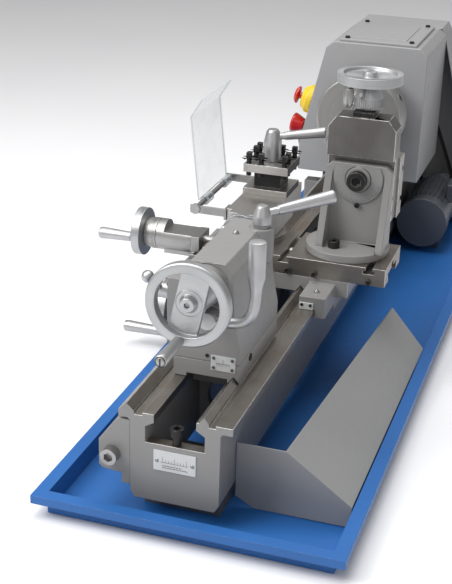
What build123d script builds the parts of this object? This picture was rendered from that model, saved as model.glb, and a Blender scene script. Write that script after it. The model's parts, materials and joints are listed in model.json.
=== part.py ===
from build123d import *
import math
import os

# Bench metal lathe with a vertical milling slide, in millimetres.
# +X runs from the headstock to the tailstock, +Y from the operator to the back, +Z up.
# The origin is on the bench under the middle of the bed, in the plane of the spindle axis.

# Clearances
run_fit = 0.05          # radial gap of a shaft in its own bore
slide_gap = 0.2         # gap between faces that slide on each other
free_gap = 0.4          # gap around pieces that turn next to something

# Bed and tray
bed_length = 1230.0
bed_half_width = 75.0
bed_height = 122.5
wall_outer = 59.5       # half distance over the bed walls
wall_inner = 39.0       # half distance between the bed walls
flange_thickness = 10.4
way_inner = 27.5        # half gap between the inner edges of the ways
front_vee_y = -64.5
front_vee_height = 10.0
rear_vee_y = 37.5
rear_vee_height = 9.0
vee_half_width = 6.5
outer_vee_half_width = 10.5
groove_depth = 4.0
foot_height = 24.5
end_wall = 16.0
stop_screw = 11.0
end_screw = 14.0
rib_thickness = 12.0
rib_spacing = 205.0
tray_sheet = 2.0
tray_front_y = -158.6
tray_rear_y = 218.0
tray_rim_height = 31.5
tray_rim_width = 16.0
tray_overhang = 35.0    # tray past the bed at the tailstock end
bench_hole_radius = 6.5
bench_hole_pitch_x = 1060.0
bench_hole_pitch_y = 50.0

# Spindle, chuck and headstock
centre_height = 136.0
spindle_bore_radius = 10.0
spindle_radius = 20.0
bearing_radius = 34.0
chuck_radius = 80.0
chuck_thickness = 62.0
chuck_bore_radius = 20.0
headstock_gap = 20.0        # chuck back to headstock
headstock_length = 215.0
headstock_overhang = 25.0   # headstock past the end of the bed
headstock_front_y = -132.0
headstock_lean_z = 54.0     # where the front starts to lean back, above the ways
headstock_lean = 44.0       # how far the front leans back by the top
headstock_rear_y = 105.0
headstock_top = 122.0       # above the spindle axis
cover_length = 84.0
casting_wall = 12.0
jaw_width = 16.0
jaw_height = 46.0
jaw_depth = 30.0
jaw_rest_radius = 24.0
stop_z = 134.0
button_z = 80.0
panel_height = 42.0
panel_thickness = 6.0
knob_z = 29.0               # knobs above the ways
stem_radius = 6.0

# Drive
motor_pulley_radius = 26.0
spindle_pulley_radius = 55.0
pulley_width = 24.0
motor_radius = 46.0
motor_axis_y = 118.0
motor_axis_z = tray_sheet + 62.0
belt_thickness = 4.0

# Carriage
saddle_x_back = 500.0       # saddle middle to the tailstock end of the bed
saddle_wing_length = 234.0
saddle_bridge_length = 114.0
saddle_top = 26.0
slide_top = 54.0
cross_slide_front_y = -95.0
cross_slide_rear_y = 165.0
dovetail_half = 26.0
cross_screw_z = 40.0
screw_radius = 7.0
leadscrew_radius = 10.0
leadscrew_y = -84.0
leadscrew_z = -65.0
apron_front_y = -156.0
apron_rear_y = -112.0
apron_drop = 106.0          # apron bottom below the ways
carriage_wheel_offset = 4.0
carriage_wheel_z = -82.0
carriage_wheel_radius = 52.0
carriage_handle_angle = -54.5
carriage_shaft_radius = 9.0
half_nut_offset = 82.0
t_slot_front = 8.0
t_slot_rear = 140.0
t_slot_width = 10.0
gib_screw_size = 5.5
rack_height = 14.0
rack_depth = 14.0
cross_nut_y = 8.0
gib_screw_places = (-60.0, 15.5, 58.0, 141.0)

# Compound slide and toolpost
compound_y = -54.0
compound_half = 36.0
compound_far = 74.0
compound_screw_z = 91.0
compound_screw_radius = 6.0
compound_pivot_back = 515.0
top_slide_near_back = 463.0
top_slide_length = 172.0
top_slide_top = 110.0
toolpost_back = 578.0
toolpost_side = 72.0
toolpost_plate = 13.0
toolpost_base = 10.0
toolpost_slot = 26.0
toolpost_slot_depth = 14.0
toolpost_stud = 7.0
tool_bolt_radius = 4.0

# Chip shield
shield_rod_y = -140.0
shield_rod_z = 104.0
shield_height = 163.0
shield_knee = 134.0
shield_lean = 20.0
shield_sheet = 3.0
shield_width = 137.0
shield_near_back = 460.0
shield_far_back = 636.0
shield_rod_radius = 4.0

# Vertical milling slide
bracket_x_back = 510.0
bracket_y = 91.0
bracket_base_radius = 64.0
bracket_base_thickness = 12.0
bracket_plate = 14.0
bracket_top = 190.0
bracket_corner = 9.0
bracket_half_width = 51.0
gusset = 40.0
head_gap = 10.0             # bracket top to the head of the swivelling body
head_top = 261.0
screw_bridge = 8.0
swivel_z = 167.5
swivel_y = 101.0
vertical_width = 109.0
vertical_wheel_radius = 49.0
vertical_wheel_z = 308.0

# Tailstock
tail_end_back = 114.0
tail_length = 173.5
tail_base_half = 45.0
tail_split = 26.7
tail_crown = 28.0           # tailstock above the spindle axis
bed_clamp_drop = 40.0       # clamp lever below the spindle axis
quill_radius = 17.5
quill_out = 12.0
lever_boss = 17.0
tail_wheel_radius = 55.0
tail_wheel_inner = 42.0
tail_wheel_back = 42.0      # middle of the ring to the end of the bed
tail_wheel_thickness = 14.0
tail_grip_angle = 259.0

# Places worked out from the sizes above
end_x = bed_length / 2
ways_z = tray_sheet + foot_height + bed_height
spindle_z = ways_z + centre_height
saddle_x = end_x - saddle_x_back
headstock_end = -end_x - headstock_overhang
headstock_x = headstock_end + headstock_length
chuck_face = headstock_x + headstock_gap + chuck_thickness
toolpost_x = end_x - toolpost_back
compound_pivot_x = end_x - compound_pivot_back
top_slide_near = end_x - top_slide_near_back
top_slide_z = ways_z + top_slide_top
cross_top_z = ways_z + slide_top
tail_x = end_x - tail_end_back
bracket_x = end_x - bracket_x_back
tray_head_x = headstock_end - cover_length - 10.0
tail_top = centre_height + tail_crown
bed_clamp_z = spindle_z - bed_clamp_drop
toolpost_core = toolpost_side - 2 * toolpost_slot_depth
panel_x = headstock_x - 120.0
button_x = headstock_x - 30.0
pulley_x = headstock_end - 45.0
tray_tail_x = end_x + tray_overhang
shield_near = end_x - shield_near_back
shield_far = end_x - shield_far_back


def block(x0, x1, y0, y1, z0, z1):
    place = Pos((x0 + x1) / 2, (y0 + y1) / 2, (z0 + z1) / 2)
    return place * Box(x1 - x0, y1 - y0, z1 - z0)


def bar_x(x0, x1, y, z, radius):
    return Pos((x0 + x1) / 2, y, z) * Rot(0, 90, 0) * Cylinder(radius, x1 - x0)


def bar_y(y0, y1, x, z, radius):
    return Pos(x, (y0 + y1) / 2, z) * Rot(90, 0, 0) * Cylinder(radius, y1 - y0)


def bar_z(z0, z1, x, y, radius):
    return Pos(x, y, (z0 + z1) / 2) * Cylinder(radius, z1 - z0)


def outline_x(points, x0, x1):
    # a (y, z) outline pushed along X
    face = make_face(Polyline(*[(x0, y, z) for y, z in points], close=True))
    return extrude(face, amount=x1 - x0, dir=(1, 0, 0))


def outline_y(points, y0, y1):
    # an (x, z) outline pushed along Y
    face = make_face(Polyline(*[(x, y0, z) for x, z in points], close=True))
    return extrude(face, amount=y1 - y0, dir=(0, 1, 0))


def outline_z(points, z0, z1):
    face = make_face(Polyline(*[(x, y, z0) for x, y in points], close=True))
    return extrude(face, amount=z1 - z0, dir=(0, 0, 1))


def turned_x(points, y, z):
    # (x, radius) outline turned about a line along X
    face = make_face(Polyline(*[(x, y, z + r) for x, r in points], close=True))
    return revolve(face, Axis((0, y, z), (1, 0, 0)), 360)


def turned_y(points, x, z):
    face = make_face(Polyline(*[(x, y, z + r) for y, r in points], close=True))
    return revolve(face, Axis((x, 0, z), (0, 1, 0)), 360)


def turned_z(points, x, y):
    face = make_face(Polyline(*[(x + r, y, z) for z, r in points], close=True))
    return revolve(face, Axis((x, y, 0), (0, 0, 1)), 360)


def taper(start, end, start_radius, end_radius):
    # a round bar between two points, the same or different at its ends
    line = Vector(*end) - Vector(*start)
    place = Plane(origin=start, z_dir=line)
    low = (Align.CENTER, Align.CENTER, Align.MIN)
    if abs(start_radius - end_radius) < 0.01:
        return place * Cylinder(start_radius, line.length, align=low)
    return place * Cone(start_radius, end_radius, line.length, align=low)


def turned_along(start, toward, points):
    # (distance, radius) outline turned about the line from start toward another point
    place = Plane(origin=start, z_dir=Vector(*toward) - Vector(*start))
    face = make_face(Polyline(*[(r, 0, d) for d, r in points], close=True))
    return place * revolve(face, Axis.Z, 360)


def socket_screw(seat, outward, size, length):
    # cap screw: the head stands on the seat, the shank goes the other way
    place = Plane(origin=seat, z_dir=outward)
    low = (Align.CENTER, Align.CENTER, Align.MIN)
    head = Cylinder(size * 0.8, size, align=low)
    socket = Pos(0, 0, size * 0.5) * extrude(RegularPolygon(size * 0.45, 6), amount=size)
    shank = Pos(0, 0, -length) * Cylinder(size / 2, length, align=low)
    return place * (head + shank - socket)


def write(name, *shapes):
    # one file for each node; identical fasteners share one as separate solids
    os.makedirs("parts", exist_ok=True)
    export_step(Compound(children=list(shapes)), f"parts/{name}.step")


# ---------------------------------------------------------------- bed and tray

def chip_tray():
    x0, x1 = tray_head_x, tray_tail_x
    y0, y1 = tray_front_y, tray_rear_y
    t, h, w = tray_sheet, tray_rim_height, tray_rim_width
    lip = 12.0
    floor = block(x0, x1, y0, y1, 0, t)
    inner = block(x0, x1, y0, y1, 0, h) - block(x0 + t, x1 - t, y0 + t, y1 - t, -1, h + 1)
    flange = block(x0 - w, x1 + w, y0 - w, y1 + w, h - t, h)
    flange -= block(x0 + t, x1 - t, y0 + t, y1 - t, 0, h + 1)
    outer = block(x0 - w, x1 + w, y0 - w, y1 + w, h - lip, h)
    outer -= block(x0 - w + t, x1 + w - t, y0 - w + t, y1 + w - t, 0, h + 1)
    tray = floor + inner + flange + outer
    for x in (-bench_hole_pitch_x / 2, bench_hole_pitch_x / 2):
        for y in (-bench_hole_pitch_y / 2, bench_hole_pitch_y / 2):
            tray -= bar_z(-1, t + 1, x, y, bench_hole_radius)
    return tray


def front_rail():
    # (y, z) points measured from the bed's middle and from the flat ways
    f = flange_thickness
    vee0 = front_vee_y - outer_vee_half_width
    vee1 = front_vee_y + outer_vee_half_width
    points = [
        (vee0, -f), (vee0, 0), (front_vee_y, front_vee_height), (vee1, 0),
        (vee1, -groove_depth), (vee1 + 11, -groove_depth), (vee1 + 11, 0), (-way_inner, 0),
        (-way_inner, -f - 1), (-wall_inner, -f - 8), (-wall_inner, -bed_height),
        (-wall_outer + 6, -bed_height), (-wall_outer, -bed_height + 10), (-wall_outer, -f - 3),
        (-wall_outer - 3, -f),
    ]
    return outline_x([(y, ways_z + z) for y, z in points], -end_x, end_x)


def rear_rail():
    f = flange_thickness
    vee0 = rear_vee_y - vee_half_width
    vee1 = rear_vee_y + vee_half_width
    points = [
        (bed_half_width, -f), (bed_half_width, 0), (vee1 + 8.5, 0), (vee1 + 8.5, -groove_depth),
        (vee1, -groove_depth), (vee1, 0), (rear_vee_y, rear_vee_height), (vee0, 0), (way_inner, 0),
        (way_inner, -f - 1), (wall_inner, -f - 8), (wall_inner, -bed_height),
        (wall_outer - 6, -bed_height), (wall_outer, -bed_height + 10), (wall_outer, -f - 3),
        (wall_outer + 3, -f),
    ]
    return outline_x([(y, ways_z + z) for y, z in points], -end_x, end_x)


def bed():
    base_z = ways_z - bed_height
    body = front_rail() + rear_rail()
    wall_top = ways_z - 40.0
    body += block(end_x - end_wall, end_x, -wall_inner, wall_inner, base_z, wall_top)
    body += block(-end_x, -end_x + end_wall, -wall_inner, wall_inner, base_z, wall_top)
    x = end_x - rib_spacing
    while x > headstock_x:
        rib = block(x - rib_thickness, x, -wall_inner, wall_inner, base_z, ways_z - 37.0)
        rib -= Pos(x, 0, ways_z - 72.0) * Rot(0, 90, 0) * Cylinder(27.0, 4 * rib_thickness)
        body += rib
        x -= rib_spacing
    body -= bar_z(base_z + 20, wall_top + 1, end_x - 9, 0, stop_screw / 2)
    # seat under the headstock, and the pads that stand in the tray
    body += block(-end_x, headstock_x - 10, -wall_inner, wall_inner, ways_z - 30, ways_z - 3)
    for x0 in (-bench_hole_pitch_x / 2 - 55, bench_hole_pitch_x / 2 - 55):
        pad = block(x0, x0 + 110, -wall_outer + 8, wall_outer - 8, tray_sheet, base_z + 12)
        for y in (-bench_hole_pitch_y / 2, bench_hole_pitch_y / 2):
            pad -= bar_z(0, base_z + 20, x0 + 55, y, bench_hole_radius)
        body += pad
    return body


def bed_fasteners():
    base = ways_z - 40.0
    stop = socket_screw((end_x - 9, 0, base + 12), (0, 0, 1), stop_screw, 30)
    bracket = socket_screw((end_x - 1, leadscrew_y, ways_z + leadscrew_z), (1, 0, 0), end_screw, 11)
    return [stop, bracket]


def leadscrew_brackets():
    # tailstock end: a small casting with a chamfered top corner, on the bed's front wall
    far = -wall_outer
    points = [
        (far, ways_z - 14), (far - 18, ways_z - 14), (far - 43, ways_z - 49),
        (far - 43, ways_z - 85), (far - 38, ways_z - 90), (far - 12, ways_z - 92),
        (far - 12, ways_z - 106), (far, ways_z - 106),
    ]
    tail = outline_x(points, end_x - 30, end_x - 1)
    head_x = headstock_x - 40
    head = block(head_x, head_x + 28, far - 60, far, ways_z - 92, ways_z - 24)
    bore = bar_x(-end_x - 5, end_x + 5, leadscrew_y, ways_z + leadscrew_z, leadscrew_radius + run_fit)
    screw_hole = bar_x(end_x - 20, end_x, leadscrew_y, ways_z + leadscrew_z, end_screw / 2)
    blind = block(end_x - 12, end_x + 6, -140, far - 1, ways_z - 110, ways_z - 10)
    tail = tail - (bore - blind) - screw_hole
    return [tail, head - bore]


def rear_guard():
    # a folded sheet behind the bed: sloping panel and the return at its tailstock end
    t = tray_sheet
    near, far = end_x - 63, end_x - 560
    top = ways_z - 54
    rim = tray_rear_y - 2 * tray_sheet - 1
    foot = tray_rim_height + 1

    def section(x, top_y):
        points = [(x, top_y, top), (x, top_y + t, top), (x, rim + t, foot), (x, rim, foot)]
        return make_face(Polyline(*points, close=True))

    panel = loft([section(near, 125), section(far, 159)], ruled=True)
    points = [(61, top), (125 + t, top), (rim + t, foot), (rim, t + 1), (86, t + 1), (61, 17)]
    end = outline_x(points, near - t, near)
    return panel + end


# ---------------------------------------------------------------- headstock and spindle

def headstock_housing():
    x0, x1 = headstock_end, headstock_x
    top = spindle_z + headstock_top
    low = ways_z + 1
    front = headstock_front_y
    lean_z = ways_z + headstock_lean_z
    back = front + headstock_lean
    outer = [
        (front, low), (front, lean_z), (back, top - 12), (back + 15, top),
        (headstock_rear_y - 14, top), (headstock_rear_y, top - 14), (headstock_rear_y, low),
    ]
    w = casting_wall
    inner = [
        (front + w, low + w), (front + w, lean_z - 2), (back + w, top - 14 - w / 2),
        (headstock_rear_y - w, top - 14 - w / 2), (headstock_rear_y - w, low + w),
    ]
    body = outline_x(outer, x0, x1) - outline_x(inner, x0 + w, x1 - w)
    body += turned_x([(x1 - 1, 0), (x1 - 1, 46), (x1 + 8, 44), (x1 + 8, 0)], 0, spindle_z)
    body += bar_x(x0 + w - 1, x0 + w + 14, 0, spindle_z, 44)
    body += bar_x(x1 - w - 14, x1 - w + 1, 0, spindle_z, 44)
    body -= bar_x(x0 - 1, x1 + 20, 0, spindle_z, bearing_radius)
    # keys that fit between the ways
    body += block(x0 + 20, x1 - 10, -way_inner + 1, way_inner - 1, ways_z - 2.9, low + w)
    body -= vee_cut(front_vee_y, outer_vee_half_width, front_vee_height, x0 - 1, x1 + 1)
    body -= vee_cut(rear_vee_y, vee_half_width, rear_vee_height, x0 - 1, x1 + 1)
    stem_hole = Cylinder(stem_radius + free_gap, 3 * w)
    return body - on_front(button_z) * stem_hole - on_front(stop_z) * stem_hole


def on_front(height):
    # a place on the leaning front under the controls, its Z straight out of the casting
    rise = spindle_z + headstock_top - 12 - ways_z - headstock_lean_z
    y = headstock_front_y + headstock_lean * (height - headstock_lean_z) / rise
    return Plane(origin=(button_x, y, ways_z + height), z_dir=(0, -rise, headstock_lean))


def turned_out(points):
    # (distance out, radius) outline turned about the local Z
    face = make_face(Polyline(*[(r, 0, out) for out, r in points], close=True))
    return revolve(face, Axis.Z, 360)


def spindle_bearings():
    rings = []
    width = 22.0
    for x0 in (headstock_end + 2, headstock_x - 20):
        ring = bar_x(x0, x0 + width, 0, spindle_z, bearing_radius)
        rings.append(ring - bar_x(x0 - 1, x0 + width + 1, 0, spindle_z, spindle_radius + run_fit))
    return rings


def spindle():
    x0 = headstock_end - 60
    x1 = chuck_face - chuck_thickness
    points = [
        (x0, spindle_bore_radius), (x0, spindle_radius), (x1 - 10, spindle_radius), (x1 - 10, 45),
        (x1, 45), (x1, spindle_bore_radius),
    ]
    return turned_x(points, 0, spindle_z)


def chuck_body():
    x0, x1 = chuck_face - chuck_thickness, chuck_face
    r = chuck_radius
    points = [
        (x0, chuck_bore_radius), (x0, r - 6), (x0 + 10, r - 6), (x0 + 10, r), (x1 - 3, r),
        (x1, r - 3), (x1, chuck_bore_radius),
    ]
    body = turned_x(points, 0, spindle_z)
    for turn in (0, 120, 240):
        slot_low = chuck_bore_radius - 8
        slot = block(x1 - 22, x1 + 5, -jaw_width / 2, jaw_width / 2, slot_low, r + 5)
        key = bar_z(r - 16, r + 5, x0 + 24, 0, 7)
        place = Pos(0, 0, spindle_z) * Rot(turn, 0, 0)
        body -= place * slot
        body -= place * (Rot(60, 0, 0) * key)
    return body


def chuck_jaw(turn):
    x1 = chuck_face
    g = slide_gap
    w = jaw_width / 2 - g
    low = jaw_rest_radius
    high = low + jaw_height
    points = [
        (x1 - 22 + g, low), (x1 + jaw_depth, low), (x1 + jaw_depth, low + 12),
        (x1 + jaw_depth - 10, low + 12), (x1 + jaw_depth - 10, low + 27),
        (x1 + 10, low + 27), (x1 + 10, high), (x1 - 22 + g, high),
    ]
    return Pos(0, 0, spindle_z) * Rot(turn, 0, 0) * outline_y(points, -w, w)


def pulley(y, z, radius, bore):
    x0, x1 = pulley_x - pulley_width / 2, pulley_x + pulley_width / 2
    points = [
        (x0, bore), (x0, radius + 4), (x0 + 3, radius + 4), (x0 + 3, radius), (x1 - 3, radius),
        (x1 - 3, radius + 4), (x1, radius + 4), (x1, bore),
    ]
    return turned_x(points, y, z)


def motor_body():
    # the motor lies behind the bed under the headstock
    x0 = headstock_end + 4
    x1 = x0 + 190
    y, z, r = motor_axis_y, motor_axis_z, motor_radius
    can = turned_x([(x0, 14), (x0, r - 6), (x0 + 12, r), (x1 - 30, r), (x1 - 28, r + 3), (x1, r + 3),
                    (x1, 0), (x0 + 60, 0), (x0 + 60, 14)], y, z)
    foot = block(x0 + 20, x1 - 40, y - 30, y + 30, tray_sheet, z - r + 8)
    return can + foot


def motor_pulley():
    body = pulley(motor_axis_y, motor_axis_z, motor_pulley_radius, 0.0)
    shaft = bar_x(pulley_x, headstock_end + 4 + 55, motor_axis_y, motor_axis_z, 9.0)
    return body + shaft


def drive_belt():
    # the belt's two straight runs are common tangents of the pulleys
    gap = 0.3
    x0, x1 = pulley_x - pulley_width / 2 + 3.5, pulley_x + pulley_width / 2 - 3.5
    outer = belt_loop(gap + belt_thickness, x0, x1)
    return outer - belt_loop(gap, x0 - 1, x1 + 1)


def belt_loop(offset, x0, x1):
    big, small = spindle_pulley_radius + offset, motor_pulley_radius + offset
    dy, dz = motor_axis_y, motor_axis_z - spindle_z
    span = math.hypot(dy, dz)
    heading = math.atan2(dz, dy)
    lean = math.acos((big - small) / span)
    corners = []
    for side in (1, -1):
        a = heading + side * lean
        ends = [(big * math.cos(a), spindle_z + big * math.sin(a)),
                (dy + small * math.cos(a), motor_axis_z + small * math.sin(a))]
        corners += ends if side == 1 else ends[::-1]
    loop = outline_x(corners, x0, x1)
    loop += bar_x(x0, x1, 0, spindle_z, big)
    loop += bar_x(x0, x1, motor_axis_y, motor_axis_z, small)
    return loop


def end_cover():
    # sheet box over the pulleys and change-gear side
    t = 2.5
    x0, x1 = headstock_end - cover_length, headstock_end
    top = spindle_z + headstock_top
    front, rear = headstock_front_y, 175.0
    lean_z = ways_z + headstock_lean_z
    back = front + headstock_lean + 15
    outer = [
        (front, 40), (front, lean_z), (back, top), (headstock_rear_y - 10, top),
        (headstock_rear_y, top - 20), (rear, 120), (rear, 16), (front + 24, 16),
    ]
    inner = [
        (front + t, 41), (front + t, lean_z - 1), (back + t, top - t),
        (headstock_rear_y - 11, top - t), (headstock_rear_y - t, top - 21), (rear - t, 119),
        (rear - t, 16 + t), (front + 25, 16 + t),
    ]
    cover = outline_x(outer, x0, x1) - outline_x(inner, x0 + t, x1 + 1)
    # opening for long bar stock at the back of the spindle
    return cover - bar_x(x0 - 1, x0 + t + 1, 0, spindle_z, spindle_radius + 4)


def control_panel():
    y = headstock_front_y
    low = ways_z + 8
    return block(panel_x - 70, panel_x + 70, y - panel_thickness, y, low, low + panel_height)


def stop_box():
    # yellow round base of the emergency stop, near the chuck end of the leaning front
    bore = stem_radius + free_gap
    points = [(0.05, bore), (0.05, 28), (12, 27), (18, 21), (22, 20), (22, bore)]
    return on_front(stop_z) * turned_out(points)


def estop_button():
    # mushroom head on a stem through the casting, 6 mm of travel above its base
    points = [(-15, 0), (-15, stem_radius), (28.5, stem_radius), (30, 13), (31, 17), (34, 17), (38, 12),
              (40, 0)]
    return on_front(stop_z) * turned_out(points)


def push_button():
    # large red start button that flares outward, on a stem through the casting
    points = [(-15, 0), (-15, stem_radius), (6, stem_radius), (6, 13), (24, 19), (28, 19), (30, 16),
              (30, 0)]
    return on_front(button_z) * turned_out(points)


def direction_switch():
    y = headstock_front_y - panel_thickness
    x = panel_x - 48
    z = ways_z + knob_z
    knob = turned_y([(y - 0.3, 0), (y - 0.3, 17), (y - 8, 17), (y - 8, 0)], x, z)
    return knob + block(x - 4, x + 4, y - 20, y - 8, z - 16, z + 16)


def speed_knob():
    y = headstock_front_y - panel_thickness
    x = panel_x + 4
    points = [(y - 0.3, 0), (y - 0.3, 19), (y - 4, 19), (y - 5, 15), (y - 20, 14), (y - 22, 12), (y - 22, 0)]
    return turned_y(points, x, ways_z + knob_z)


def leadscrew():
    x0, x1 = headstock_x - 60, end_x - 12.5
    y, z = leadscrew_y, ways_z + leadscrew_z
    r = leadscrew_radius
    collar = headstock_x - 12 + free_gap
    points = [
        (x0, 0), (x0, r), (collar, r), (collar, r + 6), (collar + 10, r + 6), (collar + 10, r),
        (x1, r), (x1, 0),
    ]
    return turned_x(points, y, z)


def gear_rack():
    # rack on the front wall under the front flange, teeth down
    top = ways_z - flange_thickness - 4
    x0, x1 = headstock_x + 4, end_x - 50
    return block(x0, x1, -wall_outer - rack_depth, -wall_outer, top - rack_height, top)


# ---------------------------------------------------------------- carriage

def vee_cut(y, half, height, x0, x1):
    g = slide_gap
    slope = height / half
    drop = g * slope
    points = [(y - half - g, ways_z - 1), (y - half - g, ways_z + drop),
              (y, ways_z + height + g + drop), (y + half + g, ways_z + drop), (y + half + g, ways_z - 1)]
    return outline_x(points, x0, x1)


def saddle():
    g = slide_gap
    half = saddle_wing_length / 2
    bridge = saddle_bridge_length / 2
    low, top = ways_z + g, ways_z + saddle_top
    x0, x1 = saddle_x - half, saddle_x + half
    front = block(x0, x1, apron_rear_y, -44, low, ways_z + 19.6)
    rear = block(x0, x1, 51, 91, low, ways_z + 19.6)
    body = front + rear + block(saddle_x - bridge, saddle_x + bridge, apron_rear_y, 110, low, top)
    body += block(saddle_x - bridge, saddle_x + bridge, -130, apron_rear_y + 1, ways_z + 17, top)
    # skirts outside the ways
    body += block(x0, x1, bed_half_width + g, 91, ways_z - flange_thickness - 2, ways_z + 10)
    body += block(x0, x1, apron_rear_y, -bed_half_width - g, ways_z - 26, ways_z + 10)
    # keep plate under the rear flange
    keep_top = ways_z - flange_thickness - g
    body += block(saddle_x - bridge, saddle_x + bridge, wall_outer + 8, 91, keep_top - 10, keep_top)
    body -= vee_cut(front_vee_y, outer_vee_half_width, front_vee_height, x0 - 1, x1 + 1)
    # clear the rear inner vee
    body -= vee_cut(rear_vee_y, vee_half_width + 1, rear_vee_height + 1, x0 - 1, x1 + 1)
    # dovetail bed for the cross slide
    d = dovetail_half
    top_z = ways_z + slide_top - 14
    dovetail = [(saddle_x - d, top - 1), (saddle_x - d - 8, top_z), (saddle_x + d + 8, top_z),
                (saddle_x + d, top - 1)]
    body += outline_y(dovetail, -130, 110)
    channel = block(saddle_x - 11, saddle_x + 11, -131, 111, ways_z + cross_screw_z - 22, top_z + 1)
    return body - channel


def saddle_wipers():
    g = 0.4
    half = saddle_wing_length / 2
    plates = []
    for side in (-1, 1):
        face = saddle_x + side * half
        x0, x1 = sorted((face, face + side * 2.5))
        plates.append(block(x0, x1, 52.5, 73, ways_z + g, ways_z + 11))
        front = block(x0, x1, -90, -46, ways_z + g, ways_z + 18)
        plates.append(front - vee_cut(front_vee_y, outer_vee_half_width, front_vee_height, x0 - 1, x1 + 1))
    return plates


def apron():
    half = saddle_wing_length / 2
    top = ways_z + 17
    low = ways_z - apron_drop
    x0, x1 = saddle_x - half, saddle_x + half
    y0 = apron_front_y
    points = [(x0, low + 14), (x0 + 14, low), (x1 - 14, low), (x1, low + 14), (x1, top), (x0, top)]
    body = outline_y(points, y0, apron_rear_y)
    hollow = block(x0 + 10, x1 - 10, y0 + 12, apron_rear_y + 1, low + 12, top - 20)
    body -= hollow
    # ears round the leadscrew, and the shaft boss of the carriage wheel
    ear_end = leadscrew_y + leadscrew_radius + 4
    ear_top = ways_z - flange_thickness - rack_height - 8
    for x in (x0 + 2, x1 - 14):
        body += block(x, x + 12, apron_rear_y, ear_end, ways_z + leadscrew_z - 20, ear_top)
    body -= bar_x(x0 - 1, x1 + 1, leadscrew_y, ways_z + leadscrew_z, leadscrew_radius + 1.5)
    wheel_x = saddle_x + carriage_wheel_offset
    body += bar_y(y0 - 10, y0 + 1, wheel_x, ways_z + carriage_wheel_z, 20)
    body -= bar_y(y0 - 11, -60, wheel_x, ways_z + carriage_wheel_z, carriage_shaft_radius + run_fit)
    lever_x = saddle_x + half_nut_offset
    body += bar_y(y0 - 8, y0 + 1, lever_x, ways_z - 20, 16)
    body -= bar_y(y0 - 9, apron_rear_y - 1, lever_x, ways_z - 20, 7 + run_fit)
    return body


def hand_grip(start, direction, radius, length):
    # a slightly waisted turned handle
    toward = Vector(*start) + Vector(*direction)
    points = [(0, 0), (0, radius * 0.62), (2, radius * 0.8), (length * 0.3, radius * 0.86),
              (length - 6, radius), (length - 1.5, radius * 0.93), (length, radius * 0.7), (length, 0)]
    return turned_along(start, toward, points)


def carriage_handwheel():
    x, z = saddle_x + carriage_wheel_offset, ways_z + carriage_wheel_z
    y = apron_front_y - 10
    r = carriage_wheel_radius
    points = [
        (y - free_gap, 0), (y - free_gap, 22), (y - 14, 24), (y - 20, r - 14), (y - 18, r - 12),
        (y - 18, r), (y - 32, r), (y - 32, r - 12), (y - 28, r - 14), (y - 26, 20), (y - 34, 18),
        (y - 34, 0),
    ]
    wheel = turned_y(points, x, z)
    shaft = bar_y(y - 5, leadscrew_y - leadscrew_radius - 2, x, z, carriage_shaft_radius)
    return wheel + shaft


def carriage_grip():
    x, z = saddle_x + carriage_wheel_offset, ways_z + carriage_wheel_z
    a = math.radians(carriage_handle_angle)
    r = carriage_wheel_radius - 8
    start = (x + r * math.cos(a), apron_front_y - 10 - 32 - 0.3, z + r * math.sin(a))
    return hand_grip(start, (0, -1, 0), 9.5, 64)


def half_nut_lever():
    x, z = saddle_x + half_nut_offset, ways_z - 20
    y = apron_front_y - 8
    hub = bar_y(y - 20, y - free_gap, x, z, 13) + bar_y(y - 2, apron_rear_y - 1, x, z, 7)
    arm = taper((x, y - 12, z), (x + 34, y - 20, z + 30), 5, 4)
    knob = Pos(x + 40, y - 21.5, z + 35.5) * Sphere(10)
    return hub + arm + knob


def cross_bearing():
    # half-round housing of the cross screw, flat on top, bolted to the saddle's front
    z = ways_z + cross_screw_z
    housing = bar_y(-212, -150, saddle_x, z, 25)
    housing -= block(saddle_x - 30, saddle_x + 30, -198, -149, z + 11, z + 30)
    housing -= block(saddle_x - 30, saddle_x + 30, apron_front_y, -149, ways_z, ways_z + 17)
    neck = block(saddle_x - 34, saddle_x + 34, -152, -130, ways_z + 17, ways_z + saddle_top - 1)
    web = block(saddle_x - 16, saddle_x + 16, -200, apron_front_y, z - 26, z - 4)
    body = housing + neck + web
    body += block(saddle_x - 25, saddle_x + 25, -152, -138, ways_z + 20, z + 11)
    return body - bar_y(-213, -129, saddle_x, z, screw_radius + run_fit)


# ---------------------------------------------------------------- cross slide

def cross_slide():
    g = slide_gap
    half = saddle_bridge_length / 2
    low = ways_z + saddle_top + g
    body = block(saddle_x - half, saddle_x + half, cross_slide_front_y, cross_slide_rear_y, low, cross_top_z)
    d = dovetail_half + g
    top_z = ways_z + slide_top - 14 + g
    under = [(saddle_x - d, low - 1), (saddle_x - d - 8 - g, top_z), (saddle_x + d + 8 + g, top_z),
             (saddle_x + d, low - 1)]
    body -= outline_y(under, cross_slide_front_y - 1, cross_slide_rear_y + 1)
    # channel for the screw, with its nut hanging into the saddle
    screw_z = ways_z + cross_screw_z
    x0, x1 = saddle_x - 9, saddle_x + 9
    body -= block(x0, x1, cross_slide_front_y - 1, cross_slide_rear_y + 1, low - 1, screw_z + 8.5)
    body += block(x0, x1, cross_nut_y - 15, cross_nut_y + 15, screw_z - 9, screw_z + 9)
    body -= bar_y(cross_nut_y - 16, cross_nut_y + 16, saddle_x, screw_z, screw_radius + run_fit)
    for y in gib_screw_places:
        body -= bar_x(saddle_x + half - 12, saddle_x + half + 1, y, ways_z + 32.5, gib_screw_size / 2)
    # T-slots along X, open to both sides
    for y in (t_slot_front, t_slot_rear):
        w = t_slot_width / 2
        foot = w + 3.5
        body -= block(saddle_x - 60, saddle_x + 60, y - w, y + w, cross_top_z - 5.2, cross_top_z + 1)
        body -= block(saddle_x - 60, saddle_x + 60, y - foot, y + foot, cross_top_z - 10, cross_top_z - 5)
    return body


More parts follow.
